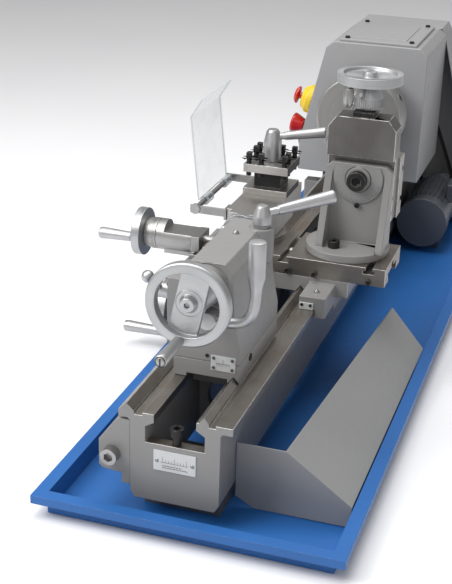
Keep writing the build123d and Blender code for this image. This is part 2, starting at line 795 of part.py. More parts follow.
def cross_gib_screws():
    face = saddle_x + saddle_bridge_length / 2
    screws = []
    for y in gib_screw_places:
        screws.append(socket_screw((face, y, ways_z + 32.5), (1, 0, 0), gib_screw_size, 12))
    return screws


def cross_screw():
    z = ways_z + cross_screw_z
    r = screw_radius
    # stops short of the saddle's rear end
    y0, y1 = -236, 100
    return turned_y([(y0, 0), (y0, r), (-150, r), (-149.6, r), (y1, r), (y1, 0)], saddle_x, z)


def cross_dial():
    z = ways_z + cross_screw_z
    g = screw_radius + 0.02
    return turned_y([(-232.6, g), (-232.6, 23), (-221, 25), (-212 - free_gap, 25), (-212 - free_gap, g)],
                    saddle_x, z)


def cross_handwheel():
    z = ways_z + cross_screw_z
    points = [
        (-232.8, screw_radius), (-232.8, 22), (-235, 30), (-235, 38.5), (-249, 38.5), (-249, 32),
        (-245, 29), (-245, 14), (-249, 12), (-249, 0), (-236, 0), (-236, screw_radius),
    ]
    return turned_y(points, saddle_x, z)


def cross_grip():
    z = ways_z + cross_screw_z
    return hand_grip((saddle_x + 28, -249.3, z - 2), (0, -1, 0), 9.5, 56)


# ---------------------------------------------------------------- compound and toolpost

def compound_base():
    z0, z1 = cross_top_z + slide_gap, ways_z + 82
    c = compound_half
    disc = bar_z(z0, z0 + 10, compound_pivot_x, compound_y, 44)
    x0 = compound_pivot_x - compound_far
    x1 = top_slide_near - slide_gap
    sides = [(compound_y - c, z1), (compound_y + c, z1), (compound_y + c, z0 + 14), (compound_y + 26, z0),
             (compound_y - 26, z0), (compound_y - c, z0 + 14)]
    body = outline_x(sides, x0, x1) + disc
    dovetail = [(compound_y - 16, z1 - 1), (compound_y - 22, z1 + 10), (compound_y + 22, z1 + 10),
                (compound_y + 16, z1 - 1)]
    body += outline_x(dovetail, x0, x1)
    # the screw runs over the base in a groove
    z = ways_z + compound_screw_z
    return body - bar_x(x0 - 1, x1 + 1, compound_y, z, compound_screw_radius + free_gap)


def top_slide():
    g = slide_gap
    x1 = top_slide_near
    x0 = x1 - top_slide_length
    c = compound_half
    low = ways_z + 82 + g
    body = block(x0, x1, compound_y - c, compound_y + c, low, top_slide_z)
    under = [(compound_y - 16 - g, low - 1), (compound_y - 22 - 2 * g, low + 10 + g),
             (compound_y + 22 + 2 * g, low + 10 + g), (compound_y + 16 + g, low - 1)]
    body -= outline_x(under, x0 - 1, x1 + 1)
    # thrust bracket that carries the screw's dial end, and the toolpost stud
    body += block(x1, x1 + 14, compound_y - 28, compound_y + 28, ways_z + 74, top_slide_z)
    body -= bar_x(x1 - 1, x1 + 15, compound_y, ways_z + compound_screw_z, compound_screw_radius + run_fit)
    body += bar_z(top_slide_z - 1, top_slide_z + 62, toolpost_x, compound_y, toolpost_stud)
    return body


def compound_handwheel():
    x = top_slide_near + 14 + free_gap
    z = ways_z + compound_screw_z
    points = [
        (x - 14, 0), (x - 14, compound_screw_radius), (x, compound_screw_radius), (x, 20), (x + 18, 19),
        (x + 20, 24), (x + 20, 28), (x + 30, 28), (x + 30, 23), (x + 27, 20), (x + 27, 10), (x + 30, 8),
        (x + 30, 0),
    ]
    return turned_x(points, compound_y, z)


def compound_grip():
    x = top_slide_near + 14 + free_gap + 30
    return hand_grip((x + 0.3, compound_y - 14, ways_z + compound_screw_z + 14), (1, 0, 0), 6.5, 36)


def toolpost():
    g = slide_gap
    z0 = top_slide_z + g
    h = toolpost_side / 2
    x, y = toolpost_x, compound_y
    z1 = z0 + toolpost_base
    z2 = z1 + toolpost_slot
    z3 = z2 + toolpost_plate
    body = block(x - h, x + h, y - h, y + h, z0, z1)
    c = toolpost_core / 2
    body += block(x - c, x + c, y - c, y + c, z1 - 1, z2 + 1)
    body += block(x - h, x + h, y - h, y + h, z2, z3)
    body -= bar_z(z0 - 1, z3 + 1, x, y, toolpost_stud + run_fit)
    for px, py in bolt_places():
        body -= bar_z(z2 - 1, z3 + 1, px, py, tool_bolt_radius + 0.02)
    return body


def bolt_places():
    # two clamp bolts over each of the four tool slots
    reach = toolpost_side / 2 - 7
    places = []
    for step in (-9, reach):
        for turn in range(4):
            a = math.radians(90 * turn)
            px, py = reach, step
            places.append((toolpost_x + px * math.cos(a) - py * math.sin(a),
                           compound_y + px * math.sin(a) + py * math.cos(a)))
    return places


def toolpost_bolts():
    z = top_slide_z + slide_gap + toolpost_base + toolpost_slot + toolpost_plate
    bolts = []
    for px, py in bolt_places():
        shank = bar_z(z - toolpost_plate - 7, z + 9, px, py, tool_bolt_radius)
        head = Pos(px, py, z + 13) * Box(8, 8, 9)
        bolts.append(shank + head)
    return bolts


def toolpost_lever():
    z = top_slide_z + slide_gap + toolpost_base + toolpost_slot + toolpost_plate
    z0 = z + 0.3
    x, y = toolpost_x, compound_y
    stud = toolpost_stud + run_fit
    hub = turned_z([(z0, stud), (z0, 14.2), (z0 + 30, 14.2), (z0 + 46, 10.6), (z0 + 50, 8), (z0 + 50, 0),
                    (z + 14, 0), (z + 14, stud)], x, y)
    arm = turned_along((x - 1, y + 4, z0 + 38), (x - 15, y + 79, z0 + 50),
                       [(0, 0), (0, 5.2), (14, 5.6), (16, 6.6), (78, 8.4), (80, 7.4), (80, 0)])
    return hub + arm


# ---------------------------------------------------------------- chip shield

def shield_bracket():
    # a rod along X held by two arms on the operator's side of the top slide
    y, z = shield_rod_y, ways_z + shield_rod_z
    side = compound_y - compound_half
    low, high = z - 7, z + 5.5
    rod = bar_x(shield_far, shield_near, y, z, shield_rod_radius)
    near_arm = block(shield_near - 3, shield_near, y - 8, side, low, high)
    far_arm = block(shield_far, shield_far + 3, y - 8, side, low, high)
    near_lug = block(shield_near - 25, shield_near, side - 4, side, low - 5, high)
    far_lug = block(shield_far, shield_far + 22, side - 4, side, low - 5, high)
    eye = bar_x(shield_near - 3, shield_near + 2, y, z, 8)
    return rod + near_arm + far_arm + near_lug + far_lug + eye


def chip_shield():
    y, z = shield_rod_y, ways_z + shield_rod_z
    x1 = shield_near - 34
    x0 = x1 - shield_width
    t = shield_sheet
    bore = shield_rod_radius + 0.3
    foot = y - 8
    knee = y - shield_lean
    outside = [(foot, z + 2), (knee - t, z + shield_knee), (y - 2 - t, z + shield_height)]
    inside = [(y - 2, z + shield_height), (knee, z + shield_knee), (foot + t, z + 2)]
    body = outline_x(outside + inside, x0, x1)
    for clip_x in (x0 + 10, x1 - 34):
        body += bar_x(clip_x, clip_x + 24, y, z, 8)
    return body - bar_x(x0 - 1, x1 + 1, y, z, bore)


# ---------------------------------------------------------------- vertical milling slide

def angle_bracket():
    x, y = bracket_x, bracket_y
    z0 = cross_top_z
    z1 = z0 + bracket_base_thickness
    base = bar_z(z0, z1, x, y, bracket_base_radius)
    p = bracket_plate
    top = ways_z + bracket_top
    y0 = swivel_y - bracket_half_width
    y1 = swivel_y + bracket_half_width
    c = bracket_corner
    sides = [(y0 - 6, z1 - 1), (y0, top - c), (y0 + c, top), (y1 - c, top), (y1, top - c), (y1, z1 - 1)]
    body = base + outline_x(sides, x - p, x)
    # side gussets that run down to the rim of the base
    for gy in (y0, y1 - 11):
        points = [(x - 1, z1 - 1), (x + gusset, z1 - 1), (x + gusset, z1 + 7), (x, top - 10)]
        body += outline_y(points, gy, gy + 11)
    body += bar_x(x - 1, x + 5, swivel_y, ways_z + swivel_z, 19)
    body -= bar_x(x - p - 1, x + 6, swivel_y, ways_z + swivel_z, 8 + run_fit)
    for bx, by in bracket_bolt_places():
        body -= bar_z(z0 - 1, z1 + 1, bx, by, 5.5)
    return body


def bracket_bolt_places():
    return [(bracket_x + 32, bracket_y - 14), (bracket_x - 36, bracket_y - 14)]


def bracket_bolts():
    z = cross_top_z + bracket_base_thickness
    bolts = []
    for bx, by in bracket_bolt_places():
        bolts.append(socket_screw((bx, by, z), (0, 0, 1), 11, bracket_base_thickness))
    return bolts


def vertical_body():
    # dovetail body that swivels on the angle bracket; its pivot bolt shows at the front
    g = slide_gap
    x1 = bracket_x - bracket_plate - g
    x0 = x1 - 26
    y0, y1 = swivel_y - vertical_width / 2 + 3, swivel_y + vertical_width / 2 - 3
    low, top = ways_z + 102, ways_z + head_top
    points = [(y0, low), (y0, top - 16), (y0 + 12, top), (y1 - 12, top), (y1, top - 16), (y1, low)]
    body = outline_x(points, x0, x1)
    # the head above the bracket reaches forward over it
    head_low = ways_z + bracket_top + head_gap
    head = [(y0, head_low), (y0, top - 16), (y0 + 12, top), (y1 - 12, top), (y1, top - 16), (y1, head_low)]
    body += outline_x(head, x1 - 1, bracket_x)
    y = swivel_y
    rail = [(x0 + 1, y - 18), (x0 - 9, y - 24), (x0 - 9, y + 24), (x0 + 1, y + 18)]
    body += outline_z(rail, low, top - 35)
    pivot = turned_x([(x1 - 5, 0), (x1 - 5, 8), (bracket_x + 5.2, 8), (bracket_x + 5.2, 15),
                      (bracket_x + 17, 15), (bracket_x + 17, 0)], swivel_y, ways_z + swivel_z)
    socket = Plane(origin=(bracket_x + 10, swivel_y, ways_z + swivel_z), z_dir=(1, 0, 0))
    body += pivot - socket * extrude(RegularPolygon(7.5, 6), amount=20)
    # screw bracket on top
    bridge = top + screw_bridge
    body += block(x0 - 4, bracket_x - 2, swivel_y - 16, swivel_y + 16, top - 1, bridge)
    return body - bar_z(top - 75, bridge + 1, x0 + 6, swivel_y, 6 + run_fit)


def vertical_screw_x():
    return bracket_x - bracket_plate - slide_gap - 26 + 6


def vertical_table():
    g = slide_gap
    x1 = bracket_x - bracket_plate - g - 26 - g
    x0 = x1 - 30
    y0, y1 = swivel_y - vertical_width / 2, swivel_y + vertical_width / 2
    low, top = ways_z + 100, ways_z + 196
    body = block(x0, x1, y0, y1, low, top)
    y = swivel_y
    back = x1 - 9 - g
    rail = [(x1 + 1, y - 18 - g), (back, y - 24 - 2 * g), (back, y + 24 + 2 * g), (x1 + 1, y + 18 + g)]
    body -= outline_z(rail, low - 1, top + 1)
    for z in (low + 24, low + 72):
        body -= block(x0 - 1, x0 + 12, y0 - 1, y1 + 1, z - 4, z + 4)
        body -= block(x0 + 6, x0 + 12, y0 - 1, y1 + 1, z - 7.5, z + 7.5)
    return body


def vertical_handwheel():
    x, y = vertical_screw_x(), swivel_y
    z = ways_z + head_top + screw_bridge + free_gap
    wz = ways_z + vertical_wheel_z
    r = vertical_wheel_radius
    points = [
        (z - 70, 0), (z - 70, 6), (z, 6), (z, 21), (z + 17, 21), (wz, 12), (wz + 3, r - 10), (wz, r - 9),
        (wz, r), (wz + 14, r), (wz + 14, r - 9), (wz + 9, r - 11), (wz + 8, 12), (wz + 16, 10), (wz + 16, 0),
    ]
    return turned_z(points, x, y)


# ---------------------------------------------------------------- tailstock

def tailstock_base():
    g = slide_gap
    x0, x1 = tail_x - tail_length, tail_x
    h = tail_base_half
    low = ways_z + g
    body = block(x0, x1, -h, h, low, ways_z + tail_split)
    body -= vee_cut(rear_vee_y, vee_half_width, rear_vee_height, x0 - 1, x1 + 1)
    # relief between the flat and the vee, with a tongue for the side-set
    body -= block(x0 - 1, x1 + 1, -way_inner + 1, rear_vee_y - vee_half_width - 2, ways_z - 1, ways_z + 5)
    # clamp pillar and plate that grips under the ways
    cx = (x0 + x1) / 2
    pillar = bar_z(ways_z - flange_thickness - 22, ways_z + 12, cx, 0, 9)
    keep = ways_z - flange_thickness - 9
    plate = block(cx - 35, cx + 35, -36, 36, keep - 12, keep)
    return body + pillar + plate


def tailstock_body():
    x0, x1 = tail_x - tail_length, tail_x
    z0 = ways_z + tail_split
    h = tail_base_half
    top = ways_z + tail_top
    outline = [
        (-h, z0), (h, z0), (h + 0.5, ways_z + 49), (40, ways_z + 75), (36, ways_z + 100), (33, top - 14),
        (23, top), (-23, top), (-33, top - 14), (-36, ways_z + 100), (-40, ways_z + 75),
        (-h - 0.5, ways_z + 49),
    ]
    body = outline_x(outline, x0, x1)
    # waist above the base: the ends lean in
    body -= outline_y([(x1 - 12, ways_z + 60), (x1 + 5, ways_z + 60), (x1 + 5, ways_z + 96),
                       (x1 - 4, ways_z + 96)], -80, -60)
    # lever boss at the rear, near the front end of the barrel
    bx = tail_x - 145
    boss = [(top - 58, 0), (top - 54, 9), (top - 46, 15), (top - 38, lever_boss), (top + 2, lever_boss),
            (top + 2, 0)]
    body += turned_z(boss, bx, 26)
    barrel = bar_x(x0 - 8, x1 + 1, 0, spindle_z, 27)
    body += barrel
    body -= bar_x(x0 - 9, x1 - 24, 0, spindle_z, quill_radius + run_fit)
    body += bar_x(x1, x1 + 22, 0, spindle_z, 24)
    body -= bar_x(x1 - 30, x1 + 23, 0, spindle_z, 8 + run_fit)
    body -= bar_x(x1 - 30, x1 - 20, 0, spindle_z, 8.5)
    # lever shaft holes: quill clamp down the boss, bed clamp across the end
    body -= bar_z(top - 34, top + 3, bx, 26, 6 + run_fit)
    body += bar_x(x1 - 1, x1 + 8, 9, bed_clamp_z, 15)
    body -= bar_x(x1 - 40, x1 + 9, 9, bed_clamp_z, 8 + run_fit)
    return body


def quill():
    nose = tail_x - tail_length - 8 - quill_out
    end = tail_x - 26
    points = [
        (nose, 6.5), (nose, quill_radius - 1), (nose + 1, quill_radius), (end, quill_radius), (end, 9),
        (nose + 85, 9), (nose + 62, 6.5),
    ]
    return turned_x(points, 0, spindle_z)


def tail_centre():
    nose = tail_x - tail_length - 8 - quill_out
    points = [(nose - 44, 0), (nose - 30, 8), (nose - 8, 9), (nose - 4, 9), (nose - 4, 6.45),
              (nose + 60, 6.3), (nose + 60, 0)]
    return turned_x(points, 0, spindle_z)


def tailstock_handwheel():
    x = end_x - tail_wheel_back
    t = tail_wheel_thickness / 2
    r = tail_wheel_radius
    rim = [(x - t, tail_wheel_inner), (x - t, r - 2), (x - t + 2, r), (x + t - 2, r), (x + t, r - 2),
           (x + t, tail_wheel_inner)]
    ring = turned_x(rim, 0, spindle_z)
    # flat two-spoke web, dished towards the tailstock
    web = block(x - 12, x - 3, -19, 19, spindle_z - tail_wheel_inner - 3, spindle_z + tail_wheel_inner + 3)
    web = Pos(0, 0, spindle_z) * Rot(-12, 0, 0) * Pos(0, 0, -spindle_z) * web
    end = tail_x + 22 + free_gap
    hub = turned_x([(end, 0), (end, 22), (end + 14, 22), (x - 12, 19), (x - 2, 17), (x - 2, 12), (x + 6, 9),
                    (x + 6, 0)], 0, spindle_z)
    shaft = bar_x(tail_x - 29, end + 1, 0, spindle_z, 8)
    socket = Plane(origin=(x + 1, 0, spindle_z), z_dir=(1, 0, 0)) * extrude(RegularPolygon(4, 6), amount=9)
    return ring + web + hub + shaft - socket


def tailstock_grip():
    a = math.radians(tail_grip_angle)
    r = (tail_wheel_radius + tail_wheel_inner) / 2
    x = end_x - tail_wheel_back + tail_wheel_thickness / 2 + 0.3
    start = (x, r * math.cos(a), spindle_z + r * math.sin(a))
    return hand_grip(start, (1, 0, 0), 8.5, 62)


def quill_lever():
    bx = tail_x - 145
    top = ways_z + tail_top + 2
    z0 = top + 0.3
    points = [(z0, 0), (z0, 11.2), (z0 + 2.5, 11.2), (z0 + 5, 13), (z0 + 14, 13), (z0 + 27, 8.6),
              (z0 + 30, 7), (z0 + 30, 0)]
    hub = turned_z(points, bx, 26)
    stem = bar_z(top - 34, z0 + 1, bx, 26, 6)
    arm = turned_along((bx, 27, z0 + 18), (bx - 52, 111, z0 + 38),
                       [(0, 0), (0, 5.4), (20, 6), (22, 7), (98, 9.4), (101, 8.4), (101, 0)])
    return hub + stem + arm


def bed_clamp_lever():
    x = tail_x + 22
    z = bed_clamp_z
    hub = bar_x(tail_x + 8 + free_gap, x + 8, 9, z, 12) + bar_x(tail_x - 38, x, 9, z, 8)
    arm = taper((x, 9, z), (x, 52, z), 6.5, 6.5)
    bend = taper((x, 52, z), (x, 67, z + 12), 6.5, 6.5) + Pos(x, 52, z) * Sphere(6.5)
    rise = taper((x, 67, z + 12), (x, 70, z + 49), 6.5, 6.5) + Pos(x, 67, z + 12) * Sphere(6.5)
    flare = taper((x, 70, z + 49), (x, 70, z + 66), 7, 11)
    grip = taper((x, 70, z + 66), (x, 70, z + 114), 11, 11)
    return hub + arm + bend + rise + flare + grip


# ---------------------------------------------------------------- all pieces

single = {
    "chip_tray": chip_tray, "bed": bed, "rear_guard": rear_guard, "headstock_housing": headstock_housing,
    "end_cover": end_cover, "motor": motor_body, "drive_belt": drive_belt, "control_panel": control_panel,
    "stop_box": stop_box, "gear_rack": gear_rack, "spindle": spindle, "chuck_body": chuck_body,
    "motor_pulley": motor_pulley, "leadscrew": leadscrew, "saddle": saddle, "apron": apron,
    "cross_bearing": cross_bearing, "carriage_handwheel": carriage_handwheel,
    "carriage_handle": carriage_grip, "half_nut_lever": half_nut_lever, "cross_slide": cross_slide,
    "cross_screw": cross_screw, "cross_handwheel": cross_handwheel, "cross_dial": cross_dial,
    "cross_handle": cross_grip, "compound_base": compound_base, "top_slide": top_slide,
    "compound_handwheel": compound_handwheel, "compound_handle": compound_grip,
    "toolpost_block": toolpost, "toolpost_lever": toolpost_lever, "shield_bracket": shield_bracket,
    "chip_shield": chip_shield, "angle_bracket": angle_bracket, "vertical_slide_body": vertical_body,
    "vertical_slide_table": vertical_table, "vertical_handwheel": vertical_handwheel,
    "tailstock_base": tailstock_base, "tailstock_body": tailstock_body,
    "quill": quill, "tail_centre": tail_centre, "tailstock_handwheel": tailstock_handwheel,
    "tailstock_handle": tailstock_grip, "quill_lever": quill_lever, "bed_clamp_lever": bed_clamp_lever,
    "estop_button": estop_button, "start_button": push_button, "direction_switch": direction_switch,
    "speed_knob": speed_knob,
}
several = {
    "bed_fasteners": bed_fasteners, "leadscrew_brackets": leadscrew_brackets,
    "spindle_bearings": spindle_bearings, "saddle_wipers": saddle_wipers,
    "cross_gib_screws": cross_gib_screws, "toolpost_bolts": toolpost_bolts, "bracket_bolts": bracket_bolts,
}

for name, make in single.items():
    write(name, make())
for name, make in several.items():
    write(name, *make())
for number, turn in enumerate((0, 120, 240), start=1):
    write(f"chuck_jaw_{number}", chuck_jaw(turn))
write("spindle_pulley", pulley(0, spindle_z, spindle_pulley_radius, spindle_radius))
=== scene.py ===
import bmesh
import bpy
import json
import math
from mathutils import Matrix, Vector


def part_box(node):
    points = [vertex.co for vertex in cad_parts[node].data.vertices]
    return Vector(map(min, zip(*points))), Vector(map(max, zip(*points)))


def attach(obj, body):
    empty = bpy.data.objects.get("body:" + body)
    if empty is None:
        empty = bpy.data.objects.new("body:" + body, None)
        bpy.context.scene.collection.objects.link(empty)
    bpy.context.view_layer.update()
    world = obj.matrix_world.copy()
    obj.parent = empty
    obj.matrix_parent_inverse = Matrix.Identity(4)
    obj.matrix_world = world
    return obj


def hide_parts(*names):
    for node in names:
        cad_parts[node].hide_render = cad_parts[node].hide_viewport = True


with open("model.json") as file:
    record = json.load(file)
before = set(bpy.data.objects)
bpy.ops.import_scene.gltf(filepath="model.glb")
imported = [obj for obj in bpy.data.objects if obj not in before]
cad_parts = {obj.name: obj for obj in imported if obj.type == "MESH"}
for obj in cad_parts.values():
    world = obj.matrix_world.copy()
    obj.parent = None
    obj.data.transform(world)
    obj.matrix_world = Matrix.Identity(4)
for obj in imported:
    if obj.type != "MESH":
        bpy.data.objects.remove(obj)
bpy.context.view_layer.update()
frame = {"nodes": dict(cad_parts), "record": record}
mm = 0.001
bodyOf = {node: body for body, group in frame["record"]["behaviour"]["bodies"].items() for node in group}
print("frame loaded:", len(frame["nodes"]), "nodes")


def tone(red, green, blue):
    # screen values from 0 to 255, as the linear colour that a shader takes
    linear = [((v / 255 + 0.055) / 1.055) ** 2.4 for v in (red, green, blue)]
    return (*linear, 1.0)


def put(tree, kind, sockets, **settings):
    made = tree.nodes.new("ShaderNode" + kind)
    for key, value in settings.items():
        setattr(made, key, value)
    for key, value in sockets.items():
        if isinstance(value, bpy.types.NodeSocket):
            tree.links.new(value, made.inputs[key])
        else:
            made.inputs[key].default_value = value
    return made


def startMaterial(name, **sockets):
    material = bpy.data.materials.new(name)
    material.use_nodes = True
    tree = material.node_tree
    shader = tree.nodes["Principled BSDF"]
    for key, value in sockets.items():
        shader.inputs[key.replace("_", " ")].default_value = value
    return material, tree, shader


def places(tree, stretch=(1, 1, 1), turn=(0, 0, 0)):
    coords = put(tree, "TexCoord", {}).outputs["Object"]
    return put(tree, "Mapping", {"Vector": coords, "Rotation": turn, "Scale": stretch}).outputs[0]


def noise(tree, vector, scale, detail=2.0):
    return put(tree, "TexNoise", {"Vector": vector, "Scale": scale, "Detail": detail}).outputs[0]


def remap(tree, value, low, high, outLow=0.0, outHigh=1.0):
    sockets = {"Value": value, "From Min": low, "From Max": high, "To Min": outLow, "To Max": outHigh}
    return put(tree, "MapRange", sockets).outputs[0]


def combine(tree, operation, a, b):
    return put(tree, "Math", {0: a, 1: b}, operation=operation).outputs[0]


def mixColour(tree, factor, a, b):
    return put(tree, "Mix", {0: factor, 6: a, 7: b}, data_type="RGBA").outputs[2]


def shaded(colour, share):
    return [c * share for c in colour[:3]] + [1.0]


def feed(tree, shader, **values):
    for key, value in values.items():
        tree.links.new(value, shader.inputs[key.replace("_", " ")])


def bumpy(tree, shader, height, distance):
    made = put(tree, "Bump", {"Height": height, "Distance": distance, "Strength": 1.0})
    tree.links.new(made.outputs[0], shader.inputs["Normal"])


def wearMask(tree, scale=260.0, low=0.46, high=0.6):
    # rounded edges carry the wear attribute, and noise breaks it up
    edge = put(tree, "Attribute", {}, attribute_name="wear").outputs["Fac"]
    broken = remap(tree, noise(tree, places(tree), scale, 4), low, high)
    return combine(tree, "MULTIPLY", edge, broken)


def ringPlaces(tree, centre, axis):
    # (radius, along) of a turned surface, for marks that run round it
    coords = put(tree, "TexCoord", {}).outputs["Object"]
    moved = put(tree, "VectorMath", {0: coords, 1: centre}, operation="SUBTRACT").outputs[0]
    flat = [0.0 if i == axis else 1.0 for i in range(3)]
    across = put(tree, "VectorMath", {0: moved, 1: flat}, operation="MULTIPLY").outputs[0]
    radius = put(tree, "VectorMath", {0: across}, operation="LENGTH").outputs["Value"]
    along = put(tree, "SeparateXYZ", {0: moved}).outputs[axis]
    return put(tree, "CombineXYZ", {0: radius, 1: along}).outputs[0]


bareSteel = tone(150, 146, 142)


def paint(name, colour, rough=0.4, peel=0.00002, spread=0.025, wear=0.45, cast=0.0):
    material, tree, shader = startMaterial(name, Specular_IOR_Level=0.45)
    here = places(tree)
    cloud = noise(tree, here, 7, 3)
    shade = mixColour(tree, remap(tree, cloud, 0.35, 0.65), shaded(colour, 1 - spread),
                      shaded(colour, 1 + spread))
    dust = remap(tree, noise(tree, here, 55, 6), 0.56, 0.78, 0.0, 0.12 + cast * 0.2)
    shade = mixColour(tree, dust, shade, shaded(colour, 0.8))
    rub = combine(tree, "MULTIPLY", wearMask(tree, 150, 0.5, 0.68), wear)
    skin = noise(tree, here, 700, 2)
    lumps = noise(tree, here, 90, 3)
    gloss = remap(tree, lumps, 0.3, 0.7, rough - 0.04, rough + 0.05)
    feed(tree, shader, Base_Color=mixColour(tree, rub, shade, bareSteel), Metallic=rub, Roughness=gloss)
    height = combine(tree, "ADD", skin, combine(tree, "MULTIPLY", lumps, 1.0 + cast * 14))
    bumpy(tree, shader, height, peel * (1 + cast * 3))
    return material


def ground(name, colour, film, along, rough=0.3, filmSpread=0.7):
    # machined flat: fine parallel marks along one axis under a thin oil film
    material, tree, shader = startMaterial(name, Metallic=1.0)
    stretch = [30 if i == along else 1500 for i in range(3)]
    lines = noise(tree, places(tree, stretch), 1, 3)
    coarse = noise(tree, places(tree, [v / 5 for v in stretch]), 1, 2)
    stain = noise(tree, places(tree), 16, 5)
    spots = noise(tree, places(tree), 240, 3)
    shade = mixColour(tree, remap(tree, stain, 0.36, 0.66, 0, filmSpread), colour, film)
    shade = mixColour(tree, remap(tree, spots, 0.66, 0.76, 0, 0.12), shade, shaded(film, 0.6))
    shade = mixColour(tree, remap(tree, coarse, 0.3, 0.7, 0, 0.18), shade, shaded(colour, 0.6))
    edge = wearMask(tree, 120, 0.3, 0.5)
    shade = mixColour(tree, edge, shade, tone(205, 203, 200))
    gloss = combine(tree, "ADD", remap(tree, lines, 0.25, 0.75, rough - 0.06, rough + 0.1),
                    remap(tree, stain, 0.3, 0.7, 0.0, 0.12))
    feed(tree, shader, Base_Color=shade, Roughness=gloss)
    bumpy(tree, shader, combine(tree, "ADD", lines, coarse), 0.000012)
    return material


def threadHeight(tree, centre, axis, radius, pitch=4 * mm):
    # a screw thread's ridges, on the part of the bar that is no thicker than the radius
    coords = put(tree, "TexCoord", {}).outputs["Object"]
    moved = put(tree, "VectorMath", {0: coords, 1: centre}, operation="SUBTRACT").outputs[0]
    parts = put(tree, "SeparateXYZ", {0: moved}).outputs
    turn = combine(tree, "ARCTAN2", parts[(axis + 1) % 3], parts[(axis + 2) % 3])
    phase = combine(tree, "ADD", combine(tree, "MULTIPLY", parts[axis], 2 * math.pi / pitch), turn)
    ridge = put(tree, "Math", {0: phase}, operation="SINE").outputs[0]
    reach = put(tree, "SeparateXYZ", {0: ringPlaces(tree, centre, axis)}).outputs[0]
    return combine(tree, "MULTIPLY", ridge, combine(tree, "LESS_THAN", reach, radius))


def lathed(name, colour, centre, axis, rough=0.38, pitch=1900.0, depth=0.000012, thread=0.0):
    # turned metal: marks run round the axis, on faces as rings and on barrels as bands
    material, tree, shader = startMaterial(name, Metallic=1.0, Anisotropic=0.4)
    rings = ringPlaces(tree, centre, axis)
    fine = noise(tree, rings, pitch, 3)
    broad = noise(tree, rings, pitch / 9, 2)
    smudge = noise(tree, places(tree), 28, 4)
    dim = shaded(colour, 0.8)
    shade = mixColour(tree, remap(tree, broad, 0.3, 0.7, 0, 0.5), colour, dim)
    shade = mixColour(tree, remap(tree, smudge, 0.5, 0.75, 0, 0.16), shade, dim)
    gloss = combine(tree, "ADD", remap(tree, fine, 0.25, 0.75, rough - 0.05, rough + 0.08),
                    remap(tree, smudge, 0.35, 0.7, 0.0, 0.1))
    if thread:
        ridge = threadHeight(tree, centre, axis, thread)
        # painted shade: the thread's grooves are darkened towards a dark brown where the ridge height is low
        shade = mixColour(tree, remap(tree, ridge, -1, 0.4, 0.65, 0), shade, tone(58, 54, 50))
        bumpy(tree, shader, ridge, 0.0006)
    else:
        bumpy(tree, shader, combine(tree, "ADD", fine, broad), depth)
    feed(tree, shader, Base_Color=shade, Roughness=gloss)
    return material


def satin(name, colour, rough=0.26):
    # smooth plated metal with handling smudges and fine hairlines
    material, tree, shader = startMaterial(name, Metallic=1.0)
    here = places(tree)
    smudge = noise(tree, here, 45, 5)
    hair = noise(tree, places(tree, (900, 120, 900), (0.3, 0.2, 0.5)), 1, 2)
    shade = mixColour(tree, remap(tree, smudge, 0.45, 0.7, 0, 0.18), colour, shaded(colour, 0.75))
    gloss = combine(tree, "ADD", remap(tree, smudge, 0.3, 0.7, rough - 0.05, rough + 0.1),
                    remap(tree, hair, 0.4, 0.8, 0.0, 0.06))
    feed(tree, shader, Base_Color=shade, Roughness=gloss)
    bumpy(tree, shader, combine(tree, "ADD", hair, smudge), 0.000008)
    return material


def oxide(name, colour, rough=0.36, rubbed=tone(120, 116, 112)):
    # chemically blacked steel, oily, rubbed bright at its edges
    material, tree, shader = startMaterial(name, Specular_IOR_Level=0.35)
    here = places(tree)
    patch = noise(tree, here, 60, 4)
    grain = noise(tree, here, 1400, 2)
    shade = mixColour(tree, remap(tree, patch, 0.35, 0.7), colour, shaded(colour, 1.9))
    rub = wearMask(tree, 320, 0.4, 0.62)
    feed(tree, shader, Base_Color=mixColour(tree, rub, shade, rubbed),
         Metallic=remap(tree, rub, 0, 1, 0.1, 1.0),
         Roughness=remap(tree, patch, 0.3, 0.7, rough - 0.07, rough + 0.1))
    bumpy(tree, shader, grain, 0.00001)
    return material


def plastic(name, colour, rough=0.4, coat=0.0):
    material, tree, shader = startMaterial(name, Coat_Weight=coat, Specular_IOR_Level=0.5)
    here = places(tree)
    cloud = noise(tree, here, 40, 3)
    grain = noise(tree, here, 1800, 2)
    shade = mixColour(tree, remap(tree, cloud, 0.35, 0.7), colour, shaded(colour, 0.88))
    scuff = combine(tree, "MULTIPLY", wearMask(tree, 300), 0.35)
    pale = [min(1, c * 1.5 + 0.03) for c in colour[:3]] + [1.0]
    feed(tree, shader, Base_Color=mixColour(tree, scuff, shade, pale),
         Roughness=remap(tree, cloud, 0.3, 0.7, rough - 0.05, rough + 0.08))
    bumpy(tree, shader, grain, 0.00001)
    return material


def clearSheet(name, alpha, colour, rough):
    material, tree, shader = startMaterial(name, Specular_IOR_Level=0.6)
    here = places(tree)
    haze = noise(tree, here, 30, 4)
    scratch = noise(tree, places(tree, (60, 900, 200), (0.1, 0.4, 0.2)), 1, 2)
    faint = combine(tree, "ADD", remap(tree, haze, 0.4, 0.75, 0, 0.06),
                    remap(tree, scratch, 0.66, 0.74, 0, 0.06))
    feed(tree, shader, Alpha=combine(tree, "ADD", faint, alpha),
         Base_Color=mixColour(tree, remap(tree, haze, 0.3, 0.7), colour, shaded(colour, 0.93)),
         Roughness=remap(tree, scratch, 0.5, 0.8, rough, rough + 0.15))
    return material


